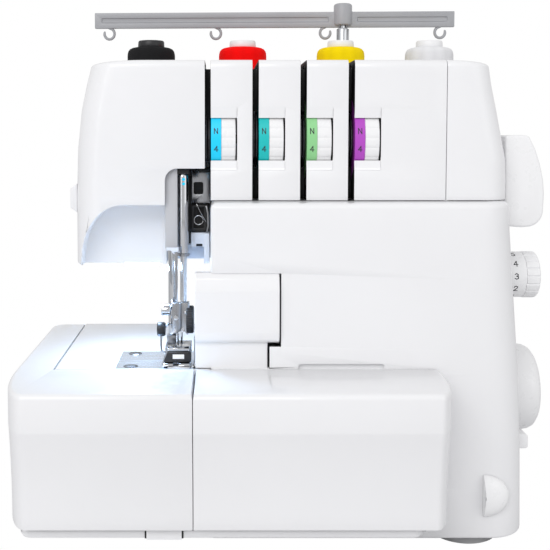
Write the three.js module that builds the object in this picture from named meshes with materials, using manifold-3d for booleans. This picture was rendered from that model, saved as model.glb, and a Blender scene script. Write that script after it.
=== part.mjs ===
// Four-thread overlock sewing machine with a free arm, as separate solids in millimetres, +Z up.
//
// The machine is laid out in its own working coordinates: x from the left end of the bed, y from the
// face of the front covers towards the back, z from the table. The exported group is then moved so
// that its origin is the middle of the footprint, on the table.

import * as THREE from 'three';
import { mergeVertices } from 'three/addons/utils/BufferGeometryUtils.js';
import Module from 'manifold-3d';

const wasm = await Module();
wasm.setup();

// ---------------------------------------------------------------- driving dimensions
const WIDTH = 340;
const DEPTH = 288;
const WALL = 3;
const GAP = 0.4;

const BED_Z = 111.5;
const COVER_BOTTOM_Z = 33.5;
const COVER_CREASE_Z = 90;
const COVER_DEPTH = 55.4;
const COVER_SEAM_X = 109.2;
const COVER_RIGHT_X = 257;
const COVER_WALL = 2.5;

const BODY_LEFT_X = 118.4;
const BODY_RIGHT_X = 310;
const BODY_FRONT_Y = 56;
const BODY_BACK_Y = 220;
const BODY_BOTTOM_Z = 8;
const LEDGE_Z = 211.8;
const SPLIT_Y = 124;

const HEAD_FRONT_Y = 76;
const HEAD_LEFT_X = 32.6;
const HEAD_BOTTOM_Z = 170;
const TOP_Z = 299;
const FACE_RIGHT_X = 114.8;
const END_CAP_X = 264.2;

const SLOT_PITCH = 29.6;
const SLOT_WIDTH = 3.8;
const FIRST_SLOT_X = 116.4;
const SLOT_DEPTH = 14;
const SLOT_TOP_Z = 294;

const DIAL_RADIUS = 27.3;
const DIAL_WIDTH = 15.4;
const DIAL_AXIS = { y: 100.7, z: 250 };

const NEEDLE_BAR = { x: 101, y: 84 };
const NEEDLES_X = [97, 99.8];
const PRESSER_BAR = { x: 94, y: 94 };
const NEEDLE_TIP_Z = 104;

const ARM_LEFT_X = 24.4;
const ARM_BOTTOM_Z = 62;
const ARM_BACK_Y = 190;
const PLATE = { x0: 61, x1: 107.6, y0: 57, y1: 101.6, thickness: 2 };

const SHAFT = { y: 140, z: 78.2, radius: 6 };
const MOTOR = { y: 178, z: 52, radius: 24 };
const BELT_X = { x0: 270.5, x1: 277.5 };

const SPOOLS_X = [69.6, 142.3, 220.2, 290.7];
const SPOOL_Y = 247;
const STAND_Z = 226;
const SPOOL_TOP_Z = 326;
const POLE = { x: 225.8, y: 277 };
const HOOK_OFFSETS = [-194, -105, -14.5, 79.5];
const ANTENNA_TURN_DEG = 2.5;

const WHITE = { color: 0xf0f0f3, roughness: 0.42, metalness: 0 };
const GREY = { color: 0x97989c, roughness: 0.5, metalness: 0 };
const DARK = { color: 0x1d1e20, roughness: 0.6, metalness: 0 };
const STEEL = { color: 0xb9bbbe, roughness: 0.35, metalness: 1 };
const CHROME = { color: 0xdfe1e4, roughness: 0.12, metalness: 1 };
const DIAL_COLOURS = [0x20c4f8, 0x08b0a0, 0x90d090, 0xb848c8];
const THREAD_COLOURS = [0x101012, 0xd81210, 0xffd400, 0xf4f4f4];

// ---------------------------------------------------------------- solids
function solid(geometry) {
  const bare = geometry.clone();
  bare.deleteAttribute('normal');
  bare.deleteAttribute('uv');
  const merged = mergeVertices(bare, 1e-4);
  const vertProperties = new Float32Array(merged.attributes.position.array);
  const triVerts = new Uint32Array(merged.index.array);
  return new wasm.Manifold(new wasm.Mesh({ numProp: 3, vertProperties, triVerts }));
}

function join(...parts) {
  return parts.reduce((whole, part) => whole.add(part));
}

function box(x0, x1, y0, y1, z0, z1) {
  const geometry = new THREE.BoxGeometry(x1 - x0, y1 - y0, z1 - z0);
  geometry.translate((x0 + x1) / 2, (y0 + y1) / 2, (z0 + z1) / 2);
  return solid(geometry);
}

function shapeOf(points) {
  return new THREE.Shape(points.map(([a, b]) => new THREE.Vector2(a, b)));
}

function prism(points, depth) {
  return new THREE.ExtrudeGeometry(shapeOf(points), { depth, bevelEnabled: false });
}

// An outline in (x, y), running from z0 up to z1.
function prismZ(points, z0, z1) {
  const geometry = prism(points, z1 - z0);
  geometry.translate(0, 0, z0);
  return solid(geometry);
}

// An outline in (x, z), running from y0 back to y1.
function prismY(points, y0, y1) {
  const geometry = prism(points, y1 - y0);
  geometry.rotateX(Math.PI / 2);
  geometry.translate(0, y1, 0);
  return solid(geometry);
}

// An outline in (y, z), running from x0 right to x1.
function prismX(points, x0, x1) {
  const geometry = prism(points, x1 - x0);
  const turn = new THREE.Matrix4().makeBasis(
    new THREE.Vector3(0, 1, 0),
    new THREE.Vector3(0, 0, 1),
    new THREE.Vector3(1, 0, 0),
  );
  geometry.applyMatrix4(turn);
  geometry.translate(x0, 0, 0);
  return solid(geometry);
}

function cylinder(radius, length, segments) {
  return new THREE.CylinderGeometry(radius, radius, length, segments);
}

function rodX(radius, x0, x1, y, z, segments = 20) {
  const geometry = cylinder(radius, x1 - x0, segments);
  geometry.rotateZ(Math.PI / 2);
  geometry.translate((x0 + x1) / 2, y, z);
  return solid(geometry);
}

function rodZ(radius, x, y, z0, z1, segments = 20) {
  const geometry = cylinder(radius, z1 - z0, segments);
  geometry.rotateX(Math.PI / 2);
  geometry.translate(x, y, (z0 + z1) / 2);
  return solid(geometry);
}

// A closed profile of [radius, height] pairs, counter-clockwise, turned about a vertical axis.
function turnedZ(profile, x, y, segments = 24) {
  const points = [...profile, profile[0]].map(([r, h]) => new THREE.Vector2(r, h));
  const geometry = new THREE.LatheGeometry(points, segments);
  geometry.rotateX(Math.PI / 2);
  geometry.translate(x, y, 0);
  return solid(geometry);
}

// The same profile turned about an axis that runs right, its heights measured along x.
function turnedX(profile, y, z, segments = 24) {
  const points = [...profile, profile[0]].map(([r, h]) => new THREE.Vector2(r, h));
  const geometry = new THREE.LatheGeometry(points, segments);
  geometry.rotateZ(-Math.PI / 2);
  geometry.translate(0, y, z);
  return solid(geometry);
}

function arc(centreA, centreB, radiusA, radiusB, fromDeg, toDeg, steps = 6) {
  const points = [];
  for (let i = 0; i <= steps; i += 1) {
    const angle = THREE.MathUtils.degToRad(fromDeg + ((toDeg - fromDeg) * i) / steps);
    points.push([centreA + radiusA * Math.cos(angle), centreB + radiusB * Math.sin(angle)]);
  }
  return points;
}

const group = new THREE.Group();
group.position.set(-WIDTH / 2, -DEPTH / 2, 0);

function addPart(name, manifold, look) {
  const mesh = manifold.getMesh();
  const geometry = new THREE.BufferGeometry();
  geometry.setAttribute('position', new THREE.BufferAttribute(mesh.vertProperties, 3));
  geometry.setIndex(new THREE.BufferAttribute(mesh.triVerts, 1));
  geometry.computeVertexNormals();
  const part = new THREE.Mesh(geometry, new THREE.MeshStandardMaterial(look));
  part.name = name;
  group.add(part);
}

// ---------------------------------------------------------------- outer shapes of the housing
// Plan of the lower body: a straight left side, a big round front right corner, round back corner.
function lowerPlan(inset) {
  const right = BODY_RIGHT_X - inset;
  const front = BODY_FRONT_Y + inset;
  const back = BODY_BACK_Y - inset;
  const left = BODY_LEFT_X + inset;
  const frontRadius = 24 - inset;
  const backRadius = 18 - inset;
  return [
    [left, front],
    ...arc(right - frontRadius, front + frontRadius, frontRadius, frontRadius, -90, 0),
    ...arc(right - backRadius, back - backRadius, backRadius, backRadius, 0, 90),
    [left, back],
  ];
}

// The lower body seen from the front: its right side leans in towards the ledge.
function lowerFrontOutline(inset, z0, z1) {
  return [
    [BODY_LEFT_X + inset, z0],
    [BODY_RIGHT_X - inset, z0],
    [BODY_RIGHT_X - inset, 60],
    [BODY_RIGHT_X - 2 - inset, 105],
    [BODY_RIGHT_X - 7.6 - inset, 200],
    [BODY_RIGHT_X - 7.6 - inset, z1],
    [BODY_LEFT_X + inset, z1],
  ];
}

function lowerOuter() {
  const plan = prismZ(lowerPlan(0), BODY_BOTTOM_Z, LEDGE_Z);
  return plan.intersect(prismY(lowerFrontOutline(0, BODY_BOTTOM_Z, LEDGE_Z), 0, DEPTH));
}

function lowerInner(topZ) {
  const plan = prismZ(lowerPlan(WALL), 0, topZ);
  return plan.intersect(prismY(lowerFrontOutline(WALL, 0, topZ), 0, DEPTH));
}

// The head and the tension panel in plan: one long bar with round corners.
function upperPlan(inset) {
  const left = HEAD_LEFT_X + inset;
  const right = 304.5 - inset;
  const front = HEAD_FRONT_Y + inset;
  const back = BODY_BACK_Y - inset;
  return [
    ...arc(left + 18 - inset, front + 22 - inset, 18 - inset, 22 - inset, 180, 270),
    ...arc(right - 15 + inset, front + 15 - inset, 15 - inset, 15 - inset, -90, 0),
    ...arc(right - 18 + inset, back - 18 + inset, 18 - inset, 18 - inset, 0, 90),
    ...arc(left + 18 - inset, back - 18 + inset, 18 - inset, 18 - inset, 90, 180),
  ];
}

// The same bar from the front: leaning ends, a soft top, and the head hanging lower on the left.
function upperFrontOutline(inset) {
  return [
    [HEAD_LEFT_X + inset, HEAD_BOTTOM_Z + inset],
    [BODY_LEFT_X - inset, HEAD_BOTTOM_Z + inset],
    [BODY_LEFT_X - inset, LEDGE_Z + GAP],
    [304.5 - inset, LEDGE_Z + GAP],
    [304 - inset, 238],
    [298 - inset, 268],
    [293 - inset, 294.5 - inset],
    [286 - inset, TOP_Z - 1 - inset],
    [270, TOP_Z - inset],
    [66, TOP_Z - inset],
    [50 + inset, TOP_Z - 1.5 - inset],
    [42 + inset, 294 - inset],
    [36 + inset, 268],
    [33.6 + inset, 245],
  ];
}

function upperShape(inset) {
  const plan = prismZ(upperPlan(inset), HEAD_BOTTOM_Z - 1, TOP_Z + 1);
  return plan.intersect(prismY(upperFrontOutline(inset), 0, DEPTH));
}

function slotX(index) {
  return FIRST_SLOT_X + SLOT_PITCH * index;
}

// ---------------------------------------------------------------- base, feet and bed
const BRIDGE = { y0: 80, y1: 180, z1: 14 };

function bridgeNotch() {
  const { y0, y1, z1 } = BRIDGE;
  return box(BODY_LEFT_X - 1, BODY_LEFT_X + WALL + 1, y0 - GAP, y1 + GAP, BODY_BOTTOM_Z - 1, z1 + GAP);
}

function makeBase() {
  const underBody = prismZ(lowerPlan(WALL + GAP), BODY_BOTTOM_Z, 14);
  const underBed = box(8, BODY_LEFT_X - GAP, 66, 186, BODY_BOTTOM_Z, 27.6);
  const bridge = box(BODY_LEFT_X - 2, BODY_LEFT_X + WALL + 1, BRIDGE.y0, BRIDGE.y1, BODY_BOTTOM_Z, BRIDGE.z1);
  addPart('base_plate', join(underBody, underBed, bridge), GREY);
}

function makeFeet() {
  const feet = {
    foot_front_left: [42, 112],
    foot_front_right: [278.4, 83],
    foot_rear_left: [42, 164],
    foot_rear_right: [277.8, 194],
  };
  const profile = [[0, 0], [20, 0], [21, 2], [19, 7.7], [0, 7.7]];
  for (const [name, [x, y]] of Object.entries(feet)) {
    addPart(name, turnedZ(profile, x, y, 24), DARK);
  }
}

const HINGE = { y: 12.5, z: 37, radius: 2, eye: 3.2 };
const HINGE_HOLE = 2.3;

// The floor of the bed, with two ears that carry the cover's hinge bar and a tab under its edge.
function makeBedFloor() {
  const plan = [
    [11, 17], [241, 17], [241, 55.2], [BODY_LEFT_X - GAP, 55.2], [BODY_LEFT_X - GAP, 186], [11, 186],
  ];
  let floor = prismZ(plan, 28, 33);
  floor = join(floor, box(82, 103, 15, 20, 27, 29));
  const ear = [[12.5, 35.8], [18.5, 34.8], [20, 32], [24, 32], [24, 36], [20, 40.2], [12.5, 40.2]];
  for (const x of [140, 215]) {
    const eye = rodX(HINGE.eye - 0.6, x, x + 4, HINGE.y, HINGE.z);
    floor = join(floor, prismX(ear, x, x + 4), eye);
    floor = floor.subtract(rodX(HINGE_HOLE, x - 1, x + 5, HINGE.y, HINGE.z));
  }
  addPart('bed_floor', floor, GREY);
  addPart('cover_hinge_bar', rodX(HINGE.radius, 112, 240, HINGE.y, HINGE.z, 16), STEEL);
}

// Front face of the covers in (y, z): upright above the crease, leaning in below it.
function coverProfile(inset) {
  return [
    [7.5 + inset, COVER_BOTTOM_Z - (inset ? 2 : 0)],
    [inset, COVER_CREASE_Z],
    [inset, BED_Z - 3 - inset],
    [3 + inset, BED_Z - inset],
    [ARM_BACK_Y + 20, BED_Z - inset],
    [ARM_BACK_Y + 20, COVER_BOTTOM_Z - (inset ? 2 : 0)],
  ];
}

function makeLeftExtension() {
  const plan = (inset) => [
    ...arc(20 + inset, 20 + inset, 20, 20, 180, 270, 8),
    [COVER_SEAM_X - GAP - inset, inset],
    [COVER_SEAM_X - GAP - inset, COVER_DEPTH - inset],
    [ARM_LEFT_X - GAP - inset, COVER_DEPTH - inset],
    [ARM_LEFT_X - GAP - inset, ARM_BACK_Y - inset],
    ...arc(10 + inset, ARM_BACK_Y - 10 - inset, 10, 10, 90, 180, 4),
  ];
  const outer = prismZ(plan(0), COVER_BOTTOM_Z, BED_Z).intersect(prismX(coverProfile(0), -1, 120));
  const inner = prismZ(plan(COVER_WALL), COVER_BOTTOM_Z - 1, BED_Z - COVER_WALL)
    .intersect(prismX(coverProfile(COVER_WALL), -1, 120));
  addPart('left_extension', outer.subtract(inner), WHITE);
}

function makeLooperCover() {
  const plan = (inset) => [
    [COVER_SEAM_X + inset, inset],
    ...arc(COVER_RIGHT_X - 18 - inset, 22 + inset, 18, 22, -90, 0, 8),
    [COVER_RIGHT_X - inset, COVER_DEPTH + (inset ? 1 : 0)],
    [COVER_SEAM_X + inset, COVER_DEPTH + (inset ? 1 : 0)],
  ];
  const outer = prismZ(plan(0), COVER_BOTTOM_Z, BED_Z).intersect(prismX(coverProfile(0), 90, 270));
  const inner = prismZ(plan(COVER_WALL), COVER_BOTTOM_Z - 1, BED_Z - COVER_WALL)
    .intersect(prismX(coverProfile(COVER_WALL), 90, 270));
  let cover = outer.subtract(inner);
  const lug = [[8.6, 34], [12.5, 34], [12.5, 40], [8.2, 40]];
  for (const x of [117, 228]) {
    cover = join(cover, prismX(lug, x, x + 5), rodX(HINGE.eye, x, x + 5, HINGE.y, HINGE.z));
    cover = cover.subtract(rodX(HINGE_HOLE, x - 1, x + 6, HINGE.y, HINGE.z));
  }
  addPart('looper_cover', cover, WHITE);
}

// The arm under the needle: a hollow beam, open above for the needle plate and open in front of
// the loopers, and open at its right end where it meets the body.
function makeFreeArm() {
  const left = ARM_LEFT_X;
  const right = BODY_LEFT_X - GAP;
  let arm = box(left, right, BODY_FRONT_Y, ARM_BACK_Y, ARM_BOTTOM_Z, BED_Z);
  arm = arm.subtract(
    box(left + WALL, right + 1, BODY_FRONT_Y + WALL, ARM_BACK_Y - WALL, ARM_BOTTOM_Z + WALL, BED_Z - WALL),
  );
  const plateTop = box(PLATE.x0 - 0.3, right + 1, PLATE.y0 - 0.3, PLATE.y1 + 0.3, 109.2, BED_Z + 1);
  const throat = box(PLATE.x0 + 3, right + 1, PLATE.y0 + 2.6, PLATE.y1 - 3, 100, BED_Z + 1);
  const frontMouth = box(66, right + 1, BODY_FRONT_Y - 1, BODY_FRONT_Y + WALL + 1, 68, 104);
  arm = arm.subtract(plateTop).subtract(throat).subtract(frontMouth);
  addPart('free_arm', arm, WHITE);
}

function makeNeedlePlate() {
  const z0 = 109.6;
  let plate = box(PLATE.x0, PLATE.x1, PLATE.y0, PLATE.y1, z0, z0 + PLATE.thickness);
  const cuts = [
    [96, 100.8, 82.5, 88],
    [88.6, 93.4, 64, 99],
    [102.2, 105.2, 64, 99],
  ];
  for (const [x0, x1, y0, y1] of cuts) {
    plate = plate.subtract(box(x0, x1, y0, y1, z0 - 1, z0 + 4));
  }
  const screwHoles = [[69.5, 62.5], [69.5, 95.3]];
  screwHoles.forEach(([x, y], index) => {
    plate = plate.subtract(rodZ(2.3, x, y, z0 - 1, z0 + 4, 16));
    plate = plate.subtract(rodZ(4.5, x, y, z0 + 1, z0 + 4, 20));
    const screw = join(rodZ(4.1, x, y, z0 + 1.4, z0 + 2.4, 20), rodZ(1.9, x, y, z0 - 0.1, z0 + 1.6, 12));
    addPart(`plate_screw_${index + 1}`, screw, STEEL);
  });
  addPart('needle_plate', plate, STEEL);
}

// ---------------------------------------------------------------- housings
function makeFrontHousing() {
  let shell = lowerOuter().intersect(box(0, WIDTH, 0, SPLIT_Y, 0, TOP_Z));
  shell = shell.subtract(lowerInner(LEDGE_Z - WALL));
  shell = shell.subtract(box(BODY_LEFT_X + WALL, 299, HEAD_FRONT_Y + 4, SPLIT_Y + 1, 200, 220));
  shell = shell.subtract(box(124, 240, BODY_FRONT_Y - 1, BODY_FRONT_Y + 5, 38, 105));
  shell = shell.subtract(box(BODY_LEFT_X - 1, BODY_LEFT_X + 5, 60, 116, 64, 108));
  shell = shell.subtract(box(BODY_LEFT_X - 1, 160.8, BODY_FRONT_Y - 1, 62.4, 128, 171));
  shell = shell.subtract(box(BODY_LEFT_X - 1, 153.9, BODY_FRONT_Y - 1, 62.4, 112, 129));
  shell = shell.subtract(rodX(4.6, 295, 315, 112, 160.7));
  shell = shell.subtract(bridgeNotch());
  addPart('front_housing', shell, WHITE);
}

function makeRearHousing() {
  const back = box(0, WIDTH, SPLIT_Y + GAP, DEPTH, 0, TOP_Z + 1);
  const lower = lowerOuter();
  const upper = upperShape(0);
  const fill = box(BODY_LEFT_X, 301, 100, 202, LEDGE_Z - 2, LEDGE_Z + 2);
  let shell = join(lower, upper, fill).intersect(back);
  const lowerHollow = lowerInner(LEDGE_Z + 4);
  const upperHollow = upperShape(WALL);
  const passage = box(BODY_LEFT_X + WALL, 299, 90, BODY_BACK_Y - WALL, 190, LEDGE_Z + 10);
  const throughWall = box(90, BODY_LEFT_X + 10, 90, BODY_BACK_Y - WALL - 2, LEDGE_Z + 4, 290);
  shell = shell.subtract(join(lowerHollow, upperHollow, passage, throughWall));
  shell = shell.subtract(rodX(8, 295, 315, SHAFT.y, SHAFT.z));
  shell = shell.subtract(box(300, 315, 175.6, 198.4, 23.6, 42.4));
  shell = shell.subtract(box(71, 81, 215, 222, 176, 208));
  shell = shell.subtract(bridgeNotch());
  for (let i = 0; i < 4; i += 1) {
    const x = slotX(i);
    shell = shell.subtract(box(x - SLOT_WIDTH / 2, x + SLOT_WIDTH / 2, 100, 230, SLOT_TOP_Z, 310));
  }
  addPart('rear_housing', shell, WHITE);
}

// Thick front with thread slots and a round pocket for each tension dial, and a thin roof.
function makeTensionPanel() {
  const x0 = slotX(0) + SLOT_WIDTH / 2;
  const x1 = END_CAP_X - GAP;
  const slotFloorY = HEAD_FRONT_Y + SLOT_DEPTH;
  let panel = upperShape(0).intersect(box(x0, x1, 0, SPLIT_Y, LEDGE_Z + GAP, TOP_Z + 1));
  panel = panel.subtract(box(x0 - 1, x1 + 1, slotFloorY + 4, SPLIT_Y + 1, LEDGE_Z, TOP_Z - WALL));
  panel = join(panel, box(112.4, x0 + 1, slotFloorY, slotFloorY + 4, 236, SLOT_TOP_Z));
  for (let i = 0; i < 4; i += 1) {
    const x = slotX(i);
    const half = SLOT_WIDTH / 2;
    if (i > 0) {
      panel = panel.subtract(box(x - half, x + half, 70, slotFloorY, LEDGE_Z, 310));
      panel = panel.subtract(box(x - half, x + half, 70, SPLIT_Y + 1, SLOT_TOP_Z, 310));
    }
    const pocketEnd = x + half + DIAL_WIDTH + 0.6;
    panel = panel.subtract(rodX(DIAL_RADIUS + 0.6, x + half - 0.01, pocketEnd, DIAL_AXIS.y, DIAL_AXIS.z, 40));
    panel = panel.subtract(rodX(20.5, x - 2.4, x + half + 0.1, DIAL_AXIS.y, DIAL_AXIS.z, 28));
  }
  addPart('tension_panel', panel, WHITE);
}

function makeTensionDials() {
  for (let i = 0; i < 4; i += 1) {
    const x0 = slotX(i) + SLOT_WIDTH / 2 + 0.3;
    const bore = 3.4;
    const profile = [
      [bore, x0], [DIAL_RADIUS, x0], [DIAL_RADIUS, x0 + 6], [DIAL_RADIUS - 0.8, x0 + 6.4],
      [DIAL_RADIUS - 0.8, x0 + DIAL_WIDTH], [bore, x0 + DIAL_WIDTH],
    ];
    const look = { color: DIAL_COLOURS[i], roughness: 0.4, metalness: 0 };
    addPart(`tension_dial_${i + 1}`, turnedX(profile, DIAL_AXIS.y, DIAL_AXIS.z, 30), look);
  }
  let stack = rodX(3, 112.6, 261, DIAL_AXIS.y, DIAL_AXIS.z, 12);
  for (let i = 0; i < 4; i += 1) {
    const x = slotX(i);
    for (const offset of [-1.3, 0.5]) {
      const x0 = x + offset;
      stack = join(stack, rodX(19.5, x0, x0 + 0.8, DIAL_AXIS.y, DIAL_AXIS.z, 20));
    }
  }
  addPart('tension_disc_stack', stack, CHROME);
}

function makeEndCap() {
  let cap = upperShape(0).intersect(box(END_CAP_X, WIDTH, 0, SPLIT_Y, LEDGE_Z, TOP_Z + 1));
  const hollow = upperShape(WALL).intersect(box(END_CAP_X - 1, WIDTH, 0, SPLIT_Y + 1, LEDGE_Z + WALL, TOP_Z));
  const behind = box(END_CAP_X - 1, 290, 100, SPLIT_Y + 1, LEDGE_Z + WALL, 290);
  cap = cap.subtract(join(hollow, behind));
  addPart('right_end_cap', cap, WHITE);
}

// The head: a shell with a lit arch cut into its lower front and an open bay round the needles.
function makeFaceCover() {
  const bayX = 90;
  const recessBackY = 100;
  let cover = upperShape(0).intersect(box(0, FACE_RIGHT_X, 0, SPLIT_Y, HEAD_BOTTOM_Z - 1, TOP_Z + 1));
  const arch = [
    [36.8, 160], [36.8, 171.9], [39.8, 186], [42.3, 197], [47.8, 204.2], [53.7, 207.6],
    [63.7, 209.1], [bayX - WALL, 209.1], [bayX - WALL, 160],
  ];
  const bay = [
    [bayX, 160], [bayX, 224], [92, 229.5], [97.5, 231.8], [FACE_RIGHT_X + 1, 231.8],
    [FACE_RIGHT_X + 1, 160],
  ];
  const interior = upperShape(WALL).intersect(box(0, bayX - WALL, recessBackY + WALL, SPLIT_Y + 1, 150, 310));
  const attic = upperShape(WALL).intersect(box(0, FACE_RIGHT_X + 1, 0, SPLIT_Y + 1, 235, 310));
  const atticRight = box(100, FACE_RIGHT_X + 1, HEAD_FRONT_Y + WALL, SPLIT_Y + 1, 235, TOP_Z - WALL);
  const loft = upperShape(WALL).intersect(box(0, bayX - WALL, 0, SPLIT_Y + 1, 212.1, 310));
  cover = cover.subtract(prismY(arch, 60, recessBackY));
  cover = cover.subtract(prismY(bay, 60, SPLIT_Y + 1));
  cover = cover.subtract(box(bayX, FACE_RIGHT_X + 1, HEAD_FRONT_Y + WALL, SPLIT_Y + 1, 220, 236));
  cover = cover.subtract(join(interior, attic, atticRight, loft));
  addPart('face_cover', cover, WHITE);
  const blade = [[28.8, 206], [HEAD_LEFT_X - 0.4, 203], [HEAD_LEFT_X - 0.4, 222], [28.8, 219]];
  addPart('thread_cutter', prismY(blade, 92, 108), WHITE);
  const lamp = box(62, 84, 104, 118, 167.5, HEAD_BOTTOM_Z - 0.3);
  addPart('lamp', lamp, { color: 0xf4f8ff, roughness: 0.3, metalness: 0 });
}

// White guard over the knives, flush in the front of the body and standing on the bed.
function makeKnifeGuard() {
  const nose = [
    [53.2, 132], [52.4, 136], [52.4, 160], [54, 166.5], [57.5, 170.1], [62, 170.1],
    [62, 129.2], [55.5, 129.2],
  ];
  const guard = join(prismX(nose, 109, 159.8), box(109, 152.9, 57.4, 62, BED_Z + 0.6, 140));
  addPart('knife_guard', guard, WHITE);
}

// ---------------------------------------------------------------- controls on the right side
function makeControls() {
  const z = 160.7;
  const y = 112;
  const dial = [
    [0, 298], [4.2, 298], [4.2, 308.6], [15.2, 308.6], [15.2, 330], [13.5, 331.6], [0, 331.6],
  ];
  addPart('stitch_length_dial', turnedX(dial, y, z, 28), WHITE);

  const lever = [
    [306.4, 252.6], [306.4, 194], [318, 193.1], [326, 197], [331.5, 205], [332.4, 215],
    [331, 228], [326, 244], [322, 251],
  ];
  addPart('differential_lever', prismY(lever, 96, 112), WHITE);

  const rocker = [[84, 49], [96, 49], [96, 60], [84, 60]];
  addPart('power_switch', prismX(rocker, BODY_RIGHT_X + 1, 319.5), WHITE);

  let inlet = box(300, BODY_RIGHT_X + 0.8, 176, 198, 24, 42);
  inlet = inlet.subtract(box(302, 315, 179, 195, 27, 39));
  addPart('power_inlet', inlet, DARK);

  const dome = [[284, 46.6], ...arc(284, 33.6, 16, 13, 90, -90, 8)];
  const latch = prismY(dome, 49.5, BODY_FRONT_Y - 0.4);
  addPart('cover_latch', latch, WHITE);
}

function makeHandwheel() {
  const profile = [
    [6.3, 313.5], [24, 313.5], [28.2, 316], [29.2, 320], [29.2, 332], [27.4, 337.5], [22, 340],
    [0, 340], [0, 330], [6.3, 330],
  ];
  addPart('handwheel', turnedX(profile, SHAFT.y, SHAFT.z, 36), WHITE);
}

// ---------------------------------------------------------------- drive
function beltLoop(grow) {
  const first = { y: SHAFT.y, z: SHAFT.z, r: 26 + grow };
  const second = { y: MOTOR.y, z: MOTOR.z, r: 8 + grow };
  const along = Math.atan2(second.z - first.z, second.y - first.y);
  const span = Math.hypot(second.y - first.y, second.z - first.z);
  const open = Math.acos((first.r - second.r) / span);
  const deg = THREE.MathUtils.radToDeg;
  return [
    ...arc(first.y, first.z, first.r, first.r, deg(along + open), deg(along - open) + 360, 20),
    ...arc(second.y, second.z, second.r, second.r, deg(along - open), deg(along + open), 8),
  ];
}

function makeDrive() {
  const pulley = rodX(25.6, BELT_X.x0, BELT_X.x1, SHAFT.y, SHAFT.z, 32);
  const crank = rodX(13, 130, 136, SHAFT.y, SHAFT.z, 20);
  const shaft = rodX(SHAFT.radius, 123, 329, SHAFT.y, SHAFT.z, 16);
  addPart('main_shaft', join(shaft, pulley, crank), STEEL);

  const can = rodX(MOTOR.radius, 186, 256, MOTOR.y, MOTOR.z, 28);
  const nose = rodX(9, 255, 262, MOTOR.y, MOTOR.z, 20);
  addPart('motor', join(can, nose), STEEL);
  const motorPulley = rodX(7.6, BELT_X.x0 - 2, BELT_X.x1 + 2, MOTOR.y, MOTOR.z, 20);
  const motorShaft = rodX(2.5, 262.5, BELT_X.x1 + 4, MOTOR.y, MOTOR.z, 12);
  addPart('motor_pulley', join(motorPulley, motorShaft), STEEL);
  const belt = prismX(beltLoop(1.2), BELT_X.x0 + 0.5, BELT_X.x1 - 0.5)
    .subtract(prismX(beltLoop(0.1), BELT_X.x0 - 1, BELT_X.x1 + 1));
  addPart('drive_belt', belt, DARK);

  const floor = box(126, 300, 84, 210, 14.4, 19);
  const leftWall = box(126, 129.4, 112, 200, 14.4, 200);
  const rightWall = box(290, 294, 112, 200, 14.4, 150);
  const motorSaddle = box(200, 240, 160, 196, 18, 27.4);
  let frame = join(floor, leftWall, rightWall, motorSaddle);
  frame = frame.subtract(rodX(SHAFT.radius + 0.4, 100, 300, SHAFT.y, SHAFT.z));
  addPart('frame_casting', frame, { color: 0x8d9093, roughness: 0.6, metalness: 0.8 });
}

// ---------------------------------------------------------------- stitching parts
function makeHeadFrame() {
  const plate = join(
    box(91, 117.4, 104, 110, HEAD_BOTTOM_Z + 2, 226),
    box(91, 111, 104, 110, HEAD_BOTTOM_Z + 2, 288),
  );
  const upperBracket = box(91, 112, 79, 105, 238, 244);
  const lowerBracket = box(91, 112, 79.4, 105, 214, 218);
  let frame = join(plate, upperBracket, lowerBracket);
  frame = frame.subtract(rodZ(3.7, NEEDLE_BAR.x, NEEDLE_BAR.y, 205, 300));
  frame = frame.subtract(rodZ(3.4, PRESSER_BAR.x, PRESSER_BAR.y, 205, 300));
  addPart('head_frame', frame, STEEL);
  const guide = rodZ(3.3, NEEDLE_BAR.x, NEEDLE_BAR.y, 178, 250)
    .subtract(rodZ(2.5, NEEDLE_BAR.x, NEEDLE_BAR.y, 170, 260));
  addPart('needle_bar_guide', guide, CHROME);
}

function makeNeedles() {
  addPart('needle_bar', rodZ(2.1, NEEDLE_BAR.x, NEEDLE_BAR.y, 147.4, 268, 16), CHROME);
  const clamp = join(box(95, 104, 80.6, 88.6, 128, 147), rodX(3.4, 103.5, 108, 84.6, 136, 14));
  addPart('needle_clamp', clamp, STEEL);
  const names = ['needle_left', 'needle_right'];
  NEEDLES_X.forEach((x, index) => {
    const profile = [[0, NEEDLE_TIP_Z], [0.7, NEEDLE_TIP_Z + 5], [0.7, 127.6], [0, 127.6]];
    addPart(names[index], turnedZ(profile, x, 85.4, 10), CHROME);
  });
}

function makePresser() {
  addPart('presser_bar', rodZ(3, PRESSER_BAR.x, PRESSER_BAR.y, 124.6, 280, 16), CHROME);
  let foot = join(
    box(89, 105.6, 64, 99, 113, 120),
    box(89, 96.5, 57.2, 66, 112.2, 115),
    box(98.6, 105.6, 57.2, 66, 112.2, 115),
    box(89, 105.6, 66, 99, 112.2, 114),
    box(90, 98, 89.5, 98, 119, 124.2),
  );
  foot = foot.subtract(box(95.8, 101, 82, 88.4, 110, 122));
  addPart('presser_foot', foot, STEEL);
  const lever = [[199, 198], [204, 201.5], [208, 198], [240, 182], [252, 181], [253, 171], [238, 169], [204, 190]];
  addPart('presser_lifter', prismX(lever, 72, 80), STEEL);
}

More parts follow.
